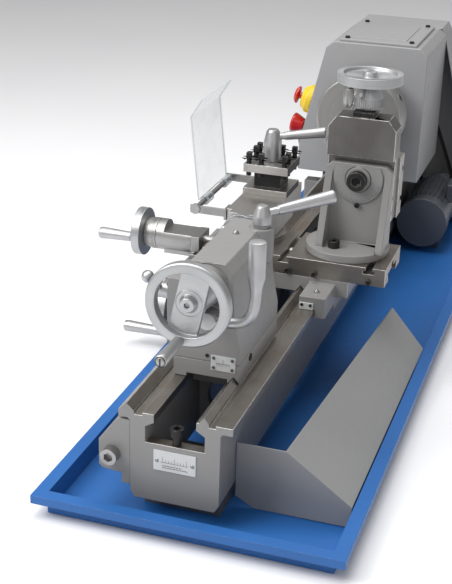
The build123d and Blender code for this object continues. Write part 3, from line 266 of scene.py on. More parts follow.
greyPaint = paint("greyPaint", tone(134, 133, 132), 0.4)
coverPaint = paint("coverPaint", tone(148, 148, 149), 0.38, 0.000015)
bluePaint = paint("bluePaint", tone(34, 96, 164), 0.42, 0.000015, 0.05, 0.2)
guardPaint = paint("guardPaint", tone(142, 142, 142), 0.5, 0.00001, 0.02, 0.5)
motorPaint = paint("motorPaint", tone(70, 74, 80), 0.4, 0.00002)
rawCasting = paint("rawCasting", tone(96, 95, 95), 0.55, 0.00004, 0.08, 0.5, 1.0)
waySteel = ground("waySteel", tone(170, 166, 160), tone(120, 104, 92), 0, 0.3, 0.6)
grooveSteel = ground("grooveSteel", tone(84, 74, 68), tone(60, 46, 42), 0, 0.45, 0.6)
slideSteel = ground("slideSteel", tone(172, 168, 162), tone(128, 114, 102), 1, 0.3, 0.6)
blockSteel = ground("blockSteel", tone(186, 184, 181), tone(150, 142, 133), 0, 0.32, 0.35)
tableSteel = ground("tableSteel", tone(158, 155, 151), tone(120, 112, 104), 1, 0.32, 0.5)
headSteel = ground("headSteel", tone(134, 132, 130), tone(96, 92, 88), 2, 0.36, 0.6)
satinChrome = satin("satinChrome", tone(182, 182, 183), 0.4)
satinSteel = satin("satinSteel", tone(164, 163, 162), 0.36)
# blacked steel for screws and bolts, also used as painted shade in the chuck key sockets
blackOxideAndShade = oxide("blackOxideAndShade", tone(26, 26, 26), 0.42)
oilySteel = oxide("oilySteel", tone(84, 82, 80), 0.32, tone(170, 166, 160))
wiperWhite = plastic("wiperWhite", tone(200, 201, 202), 0.4)
panelBlack = plastic("panelBlack", tone(34, 35, 38), 0.45)
knobBlack = plastic("knobBlack", tone(24, 24, 25), 0.34)
# dark paint for printed marks, also used as painted shade in the grip screw's slot and the ring round its head
markAndShadePaint = plastic("markAndShadePaint", tone(38, 38, 40), 0.5)
stopYellow = plastic("stopYellow", tone(228, 192, 38), 0.42)
stopRed = plastic("stopRed", tone(190, 24, 26), 0.25, 0.5)
beltRubber = plastic("beltRubber", tone(28, 28, 28), 0.7)
clearPane = clearSheet("clearPane", 0.1, tone(205, 211, 214), 0.06)
sawnEdge = clearSheet("sawnEdge", 0.7, tone(178, 184, 187), 0.35)
print("finishes made")


def finishMesh(name, bm, body, materials, sharp=50.0):
    mesh = bpy.data.meshes.new(name)
    bm.to_mesh(mesh)
    bm.free()
    for material in materials:
        mesh.materials.append(material)
    mesh.polygons.foreach_set("use_smooth", [True] * len(mesh.polygons))
    mesh.set_sharp_from_angle(angle=math.radians(sharp))
    piece = bpy.data.objects.new(name, mesh)
    bpy.context.scene.collection.objects.link(piece)
    weighted = piece.modifiers.new("weighted", "WEIGHTED_NORMAL")
    weighted.keep_sharp = True
    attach(piece, body)
    return piece


def roundEdges(bm, width, over=25.0):
    # edges sharper than the angle, and the new faces are marked as worn
    wear = bm.faces.layers.float.get("wear") or bm.faces.layers.float.new("wear")
    limit = math.radians(over)
    chosen = [e for e in bm.edges if len(e.link_faces) == 2 and e.calc_face_angle(0) > limit]
    done = bmesh.ops.bevel(bm, geom=chosen, offset=width, offset_type="OFFSET", affect="EDGES",
                           segments=2, profile=0.5, material=-1, clamp_overlap=False)
    for face in done["faces"]:
        face[wear] = 1.0


def softened(node, width, materials, choose=None):
    # a CAD casting with its edges broken; choose(face) picks the finish of each flat
    bm = bmesh.new()
    bm.from_mesh(frame["nodes"][node].data)
    bmesh.ops.remove_doubles(bm, verts=bm.verts, dist=0.00001)
    bmesh.ops.dissolve_degenerate(bm, edges=bm.edges, dist=0.00001)
    bmesh.ops.dissolve_limit(bm, angle_limit=math.radians(0.5), verts=bm.verts, edges=bm.edges)
    for face in bm.faces:
        face.material_index = choose(face) if choose else 0
    if width:
        roundEdges(bm, width)
    piece = finishMesh(node + "_shape", bm, bodyOf[node], materials)
    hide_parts(node)
    return piece


def middle(node):
    return sum(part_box(node), Vector()) / 2


def box(node):
    # CAD box of a node in mm
    low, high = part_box(node)
    return low / mm, high / mm


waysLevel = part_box("tailstock_base")[0].z      # flat ways, just under the tailstock
bedBands = {"foot": 23 * mm, "grooveBottom": 6 * mm, "grooveTop": 2 * mm, "machined": 12 * mm,
            "wayFlanks": 8 * mm, "innerEdge": 28 * mm}


def bedFinish(face):
    # 0 paint, 1 ground ways, 2 raw casting, 3 grooves
    spot = face.calc_center_median()
    if spot.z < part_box("bed")[0].z + bedBands["foot"]:
        return 2
    if face.normal.z > 0.9 and -bedBands["grooveBottom"] < spot.z - waysLevel < -bedBands["grooveTop"]:
        return 3
    if spot.z > waysLevel - bedBands["machined"] and face.normal.z > 0.3:
        return 1
    if spot.z > waysLevel - bedBands["wayFlanks"] and abs(face.normal.x) < 0.3:
        return 1
    return 2 if abs(spot.y) < bedBands["innerEdge"] and abs(face.normal.x) < 0.9 else 0


saddleBand = {"depth": 15 * mm, "half": 60 * mm}      # the machined bridge of the saddle


def saddleFinish(face):
    spot = face.calc_center_median()
    bridge = abs(spot.x - middle("saddle").x) < saddleBand["half"]
    return int(bridge and spot.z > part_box("saddle")[1].z - saddleBand["depth"])


postCore = 34 * mm      # half width of the blacked core between the plates


def postFinish(face):
    across = abs(face.normal.x) > 0.9 or face.normal.z > 0.9
    outside = abs(face.calc_center_median().x - middle("toolpost_block").x) > postCore or face.normal.z > 0.9
    return 0 if across and outside else 1


headBand = {"bolt": 5.3 * mm, "bridge": 7 * mm}


def headFinish(face):
    # the pivot bolt and the screw's bridge are blacked, the rest is machined
    spot = face.calc_center_median()
    bolt = spot.x > middle("angle_bracket").x + headBand["bolt"]
    bridge = spot.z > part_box("vertical_slide_body")[1].z - headBand["bridge"]
    return int(bolt or bridge)


softened("bed", 0.8 * mm, [greyPaint, waySteel, rawCasting, grooveSteel], bedFinish)
softened("chip_tray", 0.5 * mm, [bluePaint])
softened("rear_guard", 0.5 * mm, [guardPaint])
softened("headstock_housing", 2.0 * mm, [coverPaint])
softened("end_cover", 1.0 * mm, [coverPaint])
softened("motor", 1.0 * mm, [motorPaint])
softened("drive_belt", 0.6 * mm, [beltRubber])
softened("control_panel", 1.0 * mm, [panelBlack])
softened("stop_box", 2.0 * mm, [stopYellow])
softened("leadscrew_brackets", 1.2 * mm, [greyPaint])
softened("saddle", 1.0 * mm, [greyPaint, slideSteel], saddleFinish)
softened("saddle_wipers", 0.3 * mm, [wiperWhite])
softened("apron", 1.5 * mm, [greyPaint])
softened("cross_bearing", 0.6 * mm, [satinSteel])
softened("cross_slide", 0.5 * mm, [slideSteel])
softened("compound_base", 0.5 * mm, [blockSteel])
softened("top_slide", 0.5 * mm, [blockSteel])
softened("toolpost_block", 0.5 * mm, [blockSteel, blackOxideAndShade], postFinish)
softened("shield_bracket", 0.3 * mm, [satinSteel])
softened("chip_shield", 0.4 * mm, [clearPane, sawnEdge],
         lambda face: int(abs(face.normal.y) < 0.5))
softened("angle_bracket", 1.2 * mm, [greyPaint])
softened("vertical_slide_body", 1.0 * mm, [headSteel, blackOxideAndShade], headFinish)
softened("vertical_slide_table", 0.6 * mm, [tableSteel])
softened("tailstock_base", 1.2 * mm, [greyPaint])
softened("tailstock_body", 1.5 * mm, [greyPaint])
print("castings done")

spindleAxis = Vector((0.0, 0.0, middle("spindle").z))
spindleLevel = round(spindleAxis.z / mm, 1)
threadReach = 10.4 * mm      # thread marks stay on the leadscrew's bar
wheelTone = tone(186, 187, 188)
steelTone = tone(174, 173, 171)
for node, width, slotName, shade, axis in (
        ("spindle", 0.6, "turned_steel", steelTone, 0),
        ("chuck_body", 0.8, "turned_steel", steelTone, 0),
        ("spindle_pulley", 0.5, "wheel_aluminium", wheelTone, 0),
        ("motor_pulley", 0.5, "wheel_aluminium", wheelTone, 0),
        ("spindle_bearings", 0.4, "turned_steel", steelTone, 0),
        ("leadscrew", 0.4, "turned_steel", steelTone, 0),
        ("carriage_handwheel", 0.8, "wheel_aluminium", wheelTone, 1),
        ("cross_screw", 0.3, "turned_steel", steelTone, 1),
        ("cross_dial", 0.3, "satin_chrome", steelTone, 1),
        ("cross_handwheel", 0.8, "wheel_aluminium", wheelTone, 1),
        ("compound_handwheel", 0.6, "wheel_aluminium", wheelTone, 0),
        ("vertical_handwheel", 0.6, "wheel_aluminium", wheelTone, 2),
        ("quill", 0.4, "turned_steel", steelTone, 0),
        ("tail_centre", 0.2, "turned_steel", steelTone, 0),
        ("tailstock_handwheel", 0.9, "wheel_aluminium", wheelTone, 0)):
    centre = middle(node)
    if node in ("chuck_body", "spindle", "spindle_pulley", "spindle_bearings"):
        centre = spindleAxis
    thread = threadReach if node == "leadscrew" else 0.0
    softened(node, width * mm, [lathed(node + "Finish", shade, centre, axis, thread=thread)])
for node in ("carriage_handle", "half_nut_lever", "cross_handle", "compound_handle", "toolpost_lever",
             "tailstock_handle", "quill_lever"):
    softened(node, 0.4 * mm, [satinChrome])
for turn in (1, 2, 3):
    softened(f"chuck_jaw_{turn}", 0.5 * mm, [blockSteel])
for node in ("bed_fasteners", "cross_gib_screws", "toolpost_bolts", "bracket_bolts"):
    softened(node, 0.4 * mm, [blackOxideAndShade, satinSteel],
             lambda face: int(node == "bed_fasteners" and face.calc_center_median().y < -60 * mm))
for node, material, slotName in (("estop_button", stopRed, "stop_red"), ("start_button", stopRed, "stop_red"),
                                 ("direction_switch", knobBlack, "knob_black"),
                                 ("speed_knob", knobBlack, "knob_black")):
    softened(node, 0.7 * mm, [material])
print("turned parts and controls done")


def facing(spot, axis):
    # a place whose local Z points along the axis
    turn = Vector(axis).to_track_quat("Z", "Y").to_matrix().to_4x4()
    return Matrix.Translation(Vector(spot) * mm) @ turn


def merge(bm, part, place=Matrix.Identity(4)):
    bmesh.ops.transform(part, matrix=place, verts=part.verts)
    bmesh.ops.remove_doubles(part, verts=part.verts, dist=0.000001)
    bmesh.ops.recalc_face_normals(part, faces=part.faces)
    mesh = bpy.data.meshes.new("part")
    part.to_mesh(mesh)
    part.free()
    bm.from_mesh(mesh)
    bpy.data.meshes.remove(mesh)


def spun(outline, steps):
    # outline of (radius, height) in mm, spun about Z
    part = bmesh.new()
    points = [part.verts.new((radius * mm, 0, height * mm)) for radius, height in outline]
    edges = [part.edges.new(pair) for pair in zip(points, points[1:])]
    bmesh.ops.spin(part, geom=points + edges, cent=(0, 0, 0), axis=(0, 0, 1), angle=2 * math.pi,
                   steps=steps, use_merge=True)
    return part


def addTurned(bm, outline, spot, axis, steps=32):
    merge(bm, spun(outline, steps), facing(spot, axis))


def addBlock(bm, low, high, width=0.0, segments=2):
    part = bmesh.new()
    size = Vector(high) - Vector(low)
    place = Matrix.Translation((Vector(high) + Vector(low)) / 2 * mm) @ Matrix.Diagonal((*size * mm, 1))
    bmesh.ops.create_cube(part, size=1, matrix=place)
    if width:
        bmesh.ops.bevel(part, geom=part.edges[:], offset=width * mm, offset_type="OFFSET", affect="EDGES",
                        segments=segments, profile=0.5, material=-1)
    merge(bm, part)


def addBar(bm, size, place, width=0.0):
    # a small bar of the size in mm, centred on the place
    part = bmesh.new()
    bmesh.ops.create_cube(part, size=1, matrix=Matrix.Diagonal((*(length * mm for length in size), 1)))
    if width:
        bmesh.ops.bevel(part, geom=part.edges[:], offset=width * mm, offset_type="OFFSET", affect="EDGES",
                        segments=1, profile=0.5, material=-1)
    merge(bm, part, place)


def addSocketScrew(bm, spot, axis, radius, height, socket=0.5, depth=0.6):
    # cap head with a hexagon socket, its underside at the spot
    rim = [(0, 0), (radius, 0), (radius, height - 0.12 * radius), (radius * 0.88, height),
           (radius * (socket + 0.14), height)]
    part = spun(rim, 24)
    bmesh.ops.remove_doubles(part, verts=part.verts, dist=0.000001)
    mouth = [e for e in part.edges if e.is_boundary]
    hexagon = bmesh.ops.create_circle(part, cap_ends=False, segments=6, radius=radius * socket * mm,
                                      matrix=Matrix.Translation((0, 0, height * mm)))
    ring = list({e for v in hexagon["verts"] for e in v.link_edges})
    bmesh.ops.bridge_loops(part, edges=mouth + ring)
    down = bmesh.ops.extrude_edge_only(part, edges=ring)
    low = [v for v in down["geom"] if isinstance(v, bmesh.types.BMVert)]
    bmesh.ops.translate(part, verts=low, vec=(0, 0, -height * depth * mm))
    bmesh.ops.contextual_create(part, geom=low)
    merge(bm, part, facing(spot, axis))


def addTicks(bm, spot, axis, radius, count, low, high, longEvery=5, width=0.35, proud=0.12):
    # graduation marks round a dial, every few of them longer
    place = facing(spot, axis)
    for i in range(count):
        reach = high if i % longEvery == 0 else low + (high - low) * 0.55
        turn = Matrix.Rotation(math.radians(360.0 * i / count), 4, "Z")
        local = turn @ Matrix.Translation((radius * mm, 0, (low + reach) / 2 * mm))
        addBar(bm, (2 * proud, width, reach - low), place @ local)


bedEnd = box("bed")[1].x
endPlate = {"y": (-27.5, 28.5), "z": (73.0, 101.5), "thickness": 1.0, "sunk": 0.2, "edge": 0.35,
            "rivet": 2.6, "rivetInset": 4.5}
endMarks = {"sunk": 0.1, "proud": 0.06, "side": 12, "textLow": 4.6, "rowPitch": 2.6, "columns": 17, "fewer": 4,
            "columnPitch": 2.0, "letter": (1.3, 1.2), "ruler": 12.0, "rulerSide": 10, "rulerThick": 0.5,
            "ticks": 9, "tickPitch": 4.0, "tickHalf": 0.2, "long": 8, "short": 4}


def namePlate():
    y0, y1 = endPlate["y"]
    z0, z1 = endPlate["z"]
    face = bedEnd + endPlate["thickness"]
    bm = bmesh.new()
    addBlock(bm, (bedEnd - endPlate["sunk"], y0, z0), (face, y1, z1), endPlate["edge"])
    finishMesh("end_plate", bm, "frame", [wiperWhite])
    rivets = bmesh.new()
    r = endPlate["rivet"]
    dome = [(0, 0.6), (r, 0.6), (r, 1.0), (r * 0.8, 1.9), (r * 0.4, 2.3), (0, 2.4)]
    for y in (y0 + endPlate["rivetInset"], y1 - endPlate["rivetInset"]):
        addTurned(rivets, dome, (bedEnd, y, (z0 + z1) / 2), (1, 0, 0), 20)
    finishMesh("end_plate_rivets", rivets, "frame", [satinSteel])
    marks = bmesh.new()
    low, high = face - endMarks["sunk"], face + endMarks["proud"]
    wide, tall = endMarks["letter"]
    for row in range(2):
        z = z0 + endMarks["textLow"] + row * endMarks["rowPitch"]
        for column in range(endMarks["columns"] - row * endMarks["fewer"]):
            y = y0 + endMarks["side"] + column * endMarks["columnPitch"]
            addBlock(marks, (low, y, z), (high, y + wide, z + tall))
    ruler = z0 + endMarks["ruler"]
    addBlock(marks, (low, y0 + endMarks["rulerSide"], ruler),
             (high, y1 - endMarks["rulerSide"], ruler + endMarks["rulerThick"]))
    for i in range(endMarks["ticks"]):
        y = y0 + endMarks["side"] + i * endMarks["tickPitch"]
        tick = endMarks["long"] if i % 4 == 0 else endMarks["short"]
        addBlock(marks, (low, y - endMarks["tickHalf"], ruler), (high, y + endMarks["tickHalf"], ruler + tick))
    finishMesh("end_plate_marks", marks, "frame", [markAndShadePaint])


tailEnd = box("tailstock_base")[1].x
offsetFacts = {"y": (6.7, 40.0), "z": (165.0, 186.5), "sunk": 0.2, "proud": 0.9, "edge": 0.3,
               "screw": 2.2, "screwHeight": 1.5, "screwBase": 0.7, "inset": 4}
scaleFacts = {"low": 0.8, "high": 1.0, "side": 7, "half": 0.2, "pointerHalf": 0.25, "pointer": 6,
              "ticks": 6, "pitch": 1.4, "tickHalf": 0.15, "long": 4.5, "short": 2.8}


def offsetPlate():
    y0, y1 = offsetFacts["y"]
    z0, z1 = offsetFacts["z"]
    inset = offsetFacts["inset"]
    bm = bmesh.new()
    addBlock(bm, (tailEnd - offsetFacts["sunk"], y0, z0), (tailEnd + offsetFacts["proud"], y1, z1),
             offsetFacts["edge"])
    finishMesh("offset_plate", bm, "tailstock", [wiperWhite])
    screws = bmesh.new()
    for y in (y0 + inset, y1 - inset):
        for z in (z0 + inset, z1 - inset):
            addSocketScrew(screws, (tailEnd + offsetFacts["screwBase"], y, z), (1, 0, 0),
                           offsetFacts["screw"], offsetFacts["screwHeight"])
    finishMesh("offset_plate_screws", screws, "tailstock", [oilySteel])
    marks = bmesh.new()
    middleY, middleZ = (y0 + y1) / 2, (z0 + z1) / 2
    low, high = tailEnd + scaleFacts["low"], tailEnd + scaleFacts["high"]
    half, pointerHalf, tickHalf = (scaleFacts[key] for key in ("half", "pointerHalf", "tickHalf"))
    addBlock(marks, (low, y0 + scaleFacts["side"], middleZ - half),
             (high, y1 - scaleFacts["side"], middleZ + half))
    addBlock(marks, (low, middleY - pointerHalf, middleZ),
             (high, middleY + pointerHalf, middleZ + scaleFacts["pointer"]))
    for i in range(-scaleFacts["ticks"], scaleFacts["ticks"] + 1):
        y = middleY + i * scaleFacts["pitch"]
        drop = scaleFacts["long"] if i % 3 == 0 else scaleFacts["short"]
        addBlock(marks, (low, y - tickHalf, middleZ - drop), (high, y + tickHalf, middleZ))
    finishMesh("offset_plate_scale", marks, "tailstock", [markAndShadePaint])


oilerFacts = {"outline": [(0, -0.5), (4.2, -0.5), (4.2, 1.2), (3.4, 2.2), (3.0, 3.2), (2.2, 4.4), (1.1, 4.9),
                          (0, 5.0)],
              "tailX": 389, "tailSunk": 2, "saddleInset": 22, "saddleY": (-84, 72), "saddleZ": 168.6}


def oilPoints():
    bm = bmesh.new()
    top = box("tailstock_body")[1].z - oilerFacts["tailSunk"]
    addTurned(bm, oilerFacts["outline"], (oilerFacts["tailX"], 0, top), (0, 0, 1), 20)
    finishMesh("tailstock_oiler", bm, "tailstock", [satinSteel])
    saddle = bmesh.new()
    low, high = box("saddle")
    for x in (low.x + oilerFacts["saddleInset"], high.x - oilerFacts["saddleInset"]):
        for y in oilerFacts["saddleY"]:
            addTurned(saddle, oilerFacts["outline"], (x, y, oilerFacts["saddleZ"]), (0, 0, 1), 20)
    finishMesh("saddle_oilers", saddle, "carriage", [satinSteel])


wiperFacts = {"spots": ((-84, 163.2), (-52, 163.2), (56.5, 156.6), (69.5, 156.6)), "sunk": 0.2,
              "radius": 2.3, "height": 1.6}


def wiperScrews():
    bm = bmesh.new()
    low, high = box("saddle_wipers")
    size = wiperFacts["radius"], wiperFacts["height"]
    for y, z in wiperFacts["spots"]:
        addSocketScrew(bm, (high.x - wiperFacts["sunk"], y, z), (1, 0, 0), *size)
        addSocketScrew(bm, (low.x + wiperFacts["sunk"], y, z), (-1, 0, 0), *size)
    finishMesh("wiper_screws", bm, "carriage", [blackOxideAndShade])


setScrewFacts = {"end": (-0.3, 1.5, 184), "endSize": (2.6, 1.4), "flank": (453, 44.8, 168),
                 "flankSize": (5.5, 1.6), "socket": 0.55}


def sideScrews():
    # set screw in the tailstock's end, side-set screw in its flank
    bm = bmesh.new()
    x, y, z = setScrewFacts["end"]
    addSocketScrew(bm, (tailEnd + x, y, z), (1, 0, 0), *setScrewFacts["endSize"], setScrewFacts["socket"])
    addSocketScrew(bm, setScrewFacts["flank"], (0, 1, 0), *setScrewFacts["flankSize"], setScrewFacts["socket"])
    finishMesh("tailstock_set_screws", bm, "tailstock", [blackOxideAndShade])


namePlate()
offsetPlate()
oilPoints()
wiperScrews()
sideScrews()
print("plates and screws done")

dialFacts = {"crossRadius": 25.0, "compoundOut": 14, "compoundRadius": 19.7, "tailOut": 1, "tailRadius": 22.0}
quillFacts = {"first": 311.0, "pitch": 3, "count": 3,
              "band": [(17.4, -0.15), (17.58, -0.15), (17.58, 0.15), (17.4, 0.15), (17.4, -0.15)]}


def dials():
    cross, compound = middle("cross_dial") / mm, middle("compound_handwheel") / mm
    crossSpot = (cross.x, box("cross_dial")[1].y, cross.z)
    compoundSpot = (box("compound_handwheel")[0].x + dialFacts["compoundOut"], compound.y, compound.z)
    tailSpot = (box("tailstock_body")[1].x + dialFacts["tailOut"], 0, spindleLevel)
    for name, body, spot, axis, radius, count, low, high in (
            ("cross_dial_marks", "cross_wheel", crossSpot, (0, -1, 0), dialFacts["crossRadius"], 60, 3.0, 9.5),
            ("compound_dial_marks", "compound_wheel", compoundSpot, (1, 0, 0), dialFacts["compoundRadius"],
             40, 1.0, 6.5),
            ("tail_dial_marks", "tailstock_wheel", tailSpot, (1, 0, 0), dialFacts["tailRadius"], 50, 1.0, 7.5)):
        bm = bmesh.new()
        addTicks(bm, spot, axis, radius, count, low, high)
        finishMesh(name, bm, body, [markAndShadePaint])
    bm = bmesh.new()
    for i in range(quillFacts["count"]):
        x = quillFacts["first"] - quillFacts["pitch"] * i
        addTurned(bm, quillFacts["band"], (x, 0, spindleLevel), (1, 0, 0), 48)
    finishMesh("quill_marks", bm, "quill", [markAndShadePaint])


crankFacts = {"aim": (34.2, -20.0), "radius": 44.5, "drop": 16,
              "knob": [(0, 4), (3.4, 4), (3.4, -2), (6.2, -3), (7.4, -8), (8.0, -16), (7.6, -24), (6.0, -29),
                       (3.4, -31.4), (0, -32)]}
ribFacts = {"radius": 21.0, "count": 36, "low": 2.0, "high": 16.0, "width": 1.5, "proud": 0.6}


def verticalScrewParts():
    top = box("vertical_handwheel")[1].z
    centre = middle("vertical_handwheel") / mm
    bm = bmesh.new()
    aimX, aimY = crankFacts["aim"]
    reach = math.hypot(aimX, aimY)
    spot = (centre.x + aimX * crankFacts["radius"] / reach, centre.y + aimY * crankFacts["radius"] / reach,
            top - crankFacts["drop"])
    addTurned(bm, crankFacts["knob"], spot, (0, 0, 1), 24)
    finishMesh("vertical_crank_knob", bm, "vertical_wheel", [satinSteel])
    ribs = bmesh.new()
    foot = (centre.x, centre.y, box("vertical_slide_body")[1].z)
    addTicks(ribs, foot, (0, 0, 1), ribFacts["radius"], ribFacts["count"], ribFacts["low"], ribFacts["high"], 1,
             ribFacts["width"], ribFacts["proud"])
    finishMesh("vertical_dial_ribs", ribs, "vertical_wheel", [satinSteel])


swivelFacts = {"face": 105.0, "y": 101.0, "z": 316.5, "cut": 336,
               "ring": [(20.4, -0.3), (37, -0.3), (38, 0.5), (38, 2.0), (37.2, 2.8), (20.4, 2.8), (20.4, -0.3)],
               "ticks": 31, "first": -165, "step": 5, "outer": 37, "long": 30.5, "short": 33.0, "tickOut": 2.85,
               "tick": (0.2, 0.35), "screw": (2.4, 102, 276), "screwSize": (4.0, 3.4)}


def bracketScale():
    face, y, z = (swivelFacts[key] for key in ("face", "y", "z"))
    bm = bmesh.new()
    addTurned(bm, swivelFacts["ring"], (face, y, z), (1, 0, 0), 64)
    bmesh.ops.bisect_plane(bm, geom=bm.verts[:] + bm.edges[:] + bm.faces[:],
                           plane_co=(0, 0, swivelFacts["cut"] * mm), plane_no=(0, 0, 1), clear_outer=True)
    bmesh.ops.holes_fill(bm, edges=[e for e in bm.edges if e.is_boundary], sides=0)
    finishMesh("swivel_scale_ring", bm, "cross_slide", [greyPaint])
    marks = bmesh.new()
    thick, wide = swivelFacts["tick"]
    outer = swivelFacts["outer"]
    for i in range(swivelFacts["ticks"]):
        turn = Matrix.Rotation(math.radians(swivelFacts["first"] + i * swivelFacts["step"]), 4, "X")
        inner = swivelFacts["long"] if i % 3 == 0 else swivelFacts["short"]
        centre = Matrix.Translation(Vector((face + swivelFacts["tickOut"], y, z)) * mm)
        out = Matrix.Translation((0, (inner + outer) / 2 * mm, 0))
        addBar(marks, (thick, outer - inner, wide), centre @ turn @ out)
    finishMesh("swivel_scale_marks", marks, "cross_slide", [markAndShadePaint])
    screw = bmesh.new()
    out, screwY, screwZ = swivelFacts["screw"]
    addSocketScrew(screw, (face + out, screwY, screwZ), (1, 0, 0), *swivelFacts["screwSize"])
    finishMesh("swivel_stop_screw", screw, "cross_slide", [blackOxideAndShade])


gripFacts = {"head": [(0, -0.6), (5.6, -0.6), (5.6, 0.6), (4.9, 1.3), (0, 1.4)],
             "seat": [(6.0, 0.2), (7.0, 0.2), (7.0, 0.5), (6.0, 0.5), (6.0, 0.2)], "seatSunk": 0.2,
             "slot": (1.2, 1.6), "slotHalf": (1.0, 5.2), "slotEdge": 0.1}


def handleScrews():
    # slotted screw in the end of the tailstock wheel's loose grip; its slot and the ring round its head are
    # dark shapes that stand for painted shade
    end = box("tailstock_handle")[1].x
    centre = middle("tailstock_handle") / mm
    bm = bmesh.new()
    addTurned(bm, gripFacts["head"], (end, centre.y, centre.z), (1, 0, 0), 28)
    finishMesh("tail_grip_screw", bm, "tailstock_handle", [satinSteel])
    slot = bmesh.new()
    near, far = gripFacts["slot"]
    halfY, halfZ = gripFacts["slotHalf"]
    # painted shade: a dark bar across the screw head in place of a cut slot, and a dark ring in the gap round
    # the head
    addBlock(slot, (end + near, centre.y - halfY, centre.z - halfZ),
             (end + far, centre.y + halfY, centre.z + halfZ), gripFacts["slotEdge"])
    addTurned(slot, gripFacts["seat"], (end - gripFacts["seatSunk"], centre.y, centre.z), (1, 0, 0), 28)
    finishMesh("tail_grip_slot_shade", slot, "tailstock_handle", [markAndShadePaint])


clampFacts = {"fromEnd": 11, "z": 245.0, "rod": 7.2, "gripY": 70, "hubY": 9,
              "path": [(4, 0), (30, 0), (48, 1), (60, 7), (67, 18), (69.5, 34), (70, 52), (70, 60)],
              "grip": [(0, 46), (7.2, 46), (7.4, 50), (9.0, 58), (10.8, 65), (11, 67), (11, 111), (10.4, 113.2),
                       (8.8, 114), (0, 114)],
              "hub": [(0, -59), (8, -59), (8, -13.6), (12, -13.6), (12, 7), (11, 8), (0, 8)]}


def clampLever():
    # one bent rod with a turned grip, in place of the CAD lever's straight lengths
    x, z = box("bed_clamp_lever")[1].x - clampFacts["fromEnd"], clampFacts["z"]
    curve = bpy.data.curves.new("clampPath", "CURVE")
    curve.dimensions = "3D"
    curve.bevel_depth = clampFacts["rod"] * mm
    curve.bevel_resolution = 6
    curve.use_fill_caps = True
    spline = curve.splines.new("NURBS")
    spline.points.add(len(clampFacts["path"]) - 1)
    for point, (y, up) in zip(spline.points, clampFacts["path"]):
        point.co = (*(Vector((x, y, z + up)) * mm), 1.0)
    spline.use_endpoint_u = True
    spline.order_u = 3
    spline.resolution_u = 8
    holder = bpy.data.objects.new("clampPath", curve)
    bpy.context.scene.collection.objects.link(holder)
    rod = bpy.data.meshes.new_from_object(holder.evaluated_get(bpy.context.evaluated_depsgraph_get()))
    bm = bmesh.new()
    bm.from_mesh(rod)
    bpy.data.meshes.remove(rod)
    bpy.data.objects.remove(holder)
    bpy.data.curves.remove(curve)
    bmesh.ops.remove_doubles(bm, verts=bm.verts, dist=0.000001)
    bmesh.ops.recalc_face_normals(bm, faces=bm.faces)
    addTurned(bm, clampFacts["grip"], (x, clampFacts["gripY"], z), (0, 0, 1), 32)
    addTurned(bm, clampFacts["hub"], (x, clampFacts["hubY"], z), (1, 0, 0), 32)
    piece = finishMesh("bed_clamp_lever_shape", bm, "bed_clamp_lever", [satinChrome], 40)
    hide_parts("bed_clamp_lever")


dials()
clampLever()
verticalScrewParts()
bracketScale()
handleScrews()
print("dials done")

bearingFacts = {"x": (85.4, 144.6), "y": -142, "z": 173.8, "size": (4.0, 1.6)}
apronFacts = {"inset": 12, "z": (100, 150), "y": -155.8, "size": (4.6, 3.8), "seat": (42, -156, 108),
              "seatOutline": [(0, -0.4), (11, -0.4), (11, 1.0), (9.6, 1.8), (8.4, 1.8), (8.4, 1.0), (0, 1.0)]}


def carriageScrews():
    # screws beside the cross bearing, and on the apron's face
    bm = bmesh.new()
    for x in bearingFacts["x"]:
        addSocketScrew(bm, (x, bearingFacts["y"], bearingFacts["z"]), (0, 0, 1), *bearingFacts["size"])
    finishMesh("bearing_screws", bm, "carriage", [blackOxideAndShade])
    apron = bmesh.new()
    low, high = box("apron")
    for x in (low.x + apronFacts["inset"], high.x - apronFacts["inset"]):
        for z in apronFacts["z"]:
            addSocketScrew(apron, (x, apronFacts["y"], z), (0, -1, 0), *apronFacts["size"])
    along, y, z = apronFacts["seat"]
    addTurned(apron, apronFacts["seatOutline"], (low.x + along, y, z), (0, -1, 0), 36)
    finishMesh("apron_screws", apron, "carriage", [blackOxideAndShade])


rackFacts = {"pitch": 2 * math.pi, "depth": 4.5, "margin": 1.0, "tooth": (1.1, 2.9, 4.0)}


def rack():
    # the rack with its teeth cut, in the CAD bar's place
    low, high = box("gear_rack")
    root = low.z + rackFacts["depth"]
    rise, fall, end = rackFacts["tooth"]
    bm = bmesh.new()
    points = [(low.x, high.z), (low.x, root)]
    x = low.x + rackFacts["margin"]
    while x + rackFacts["pitch"] < high.x - rackFacts["margin"]:
        points += [(x, root), (x + rise, low.z), (x + fall, low.z), (x + end, root)]
        x += rackFacts["pitch"]
    points += [(high.x, root), (high.x, high.z)]
    ring = [bm.verts.new((px * mm, low.y * mm, pz * mm)) for px, pz in points]
    face = bmesh.ops.contextual_create(bm, geom=ring)["faces"]
    made = bmesh.ops.extrude_face_region(bm, geom=face)["geom"]
    bmesh.ops.translate(bm, verts=[v for v in made if isinstance(v, bmesh.types.BMVert)],
                        vec=(0, (high.y - low.y) * mm, 0))
    bmesh.ops.recalc_face_normals(bm, faces=bm.faces)
    piece = finishMesh("gear_rack_shape", bm, "frame", [waySteel], 20)
    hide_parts("gear_rack")


carriageScrews()
rack()
print("carriage details done")

coverFacts = {"sunk": 0.2, "spots": ((-60, 60), (20, 380), (90, 60), (-72, 250), (72, 330)), "size": (5, 4)}
lidFacts = {"inset": 14, "y": (-64, 82), "end": -432, "sunk": 0.4, "height": 5, "edge": 1.6,
            "padInset": 40, "padY": (-40, 58), "padEnd": -458, "padLow": 4, "padHigh": 6.4, "padEdge": 1.0,
            "screwInset": 26, "screwEnd": -444, "screwY": (-52, 70), "screwLow": 4.8, "screwSize": (4.6, 3.8)}


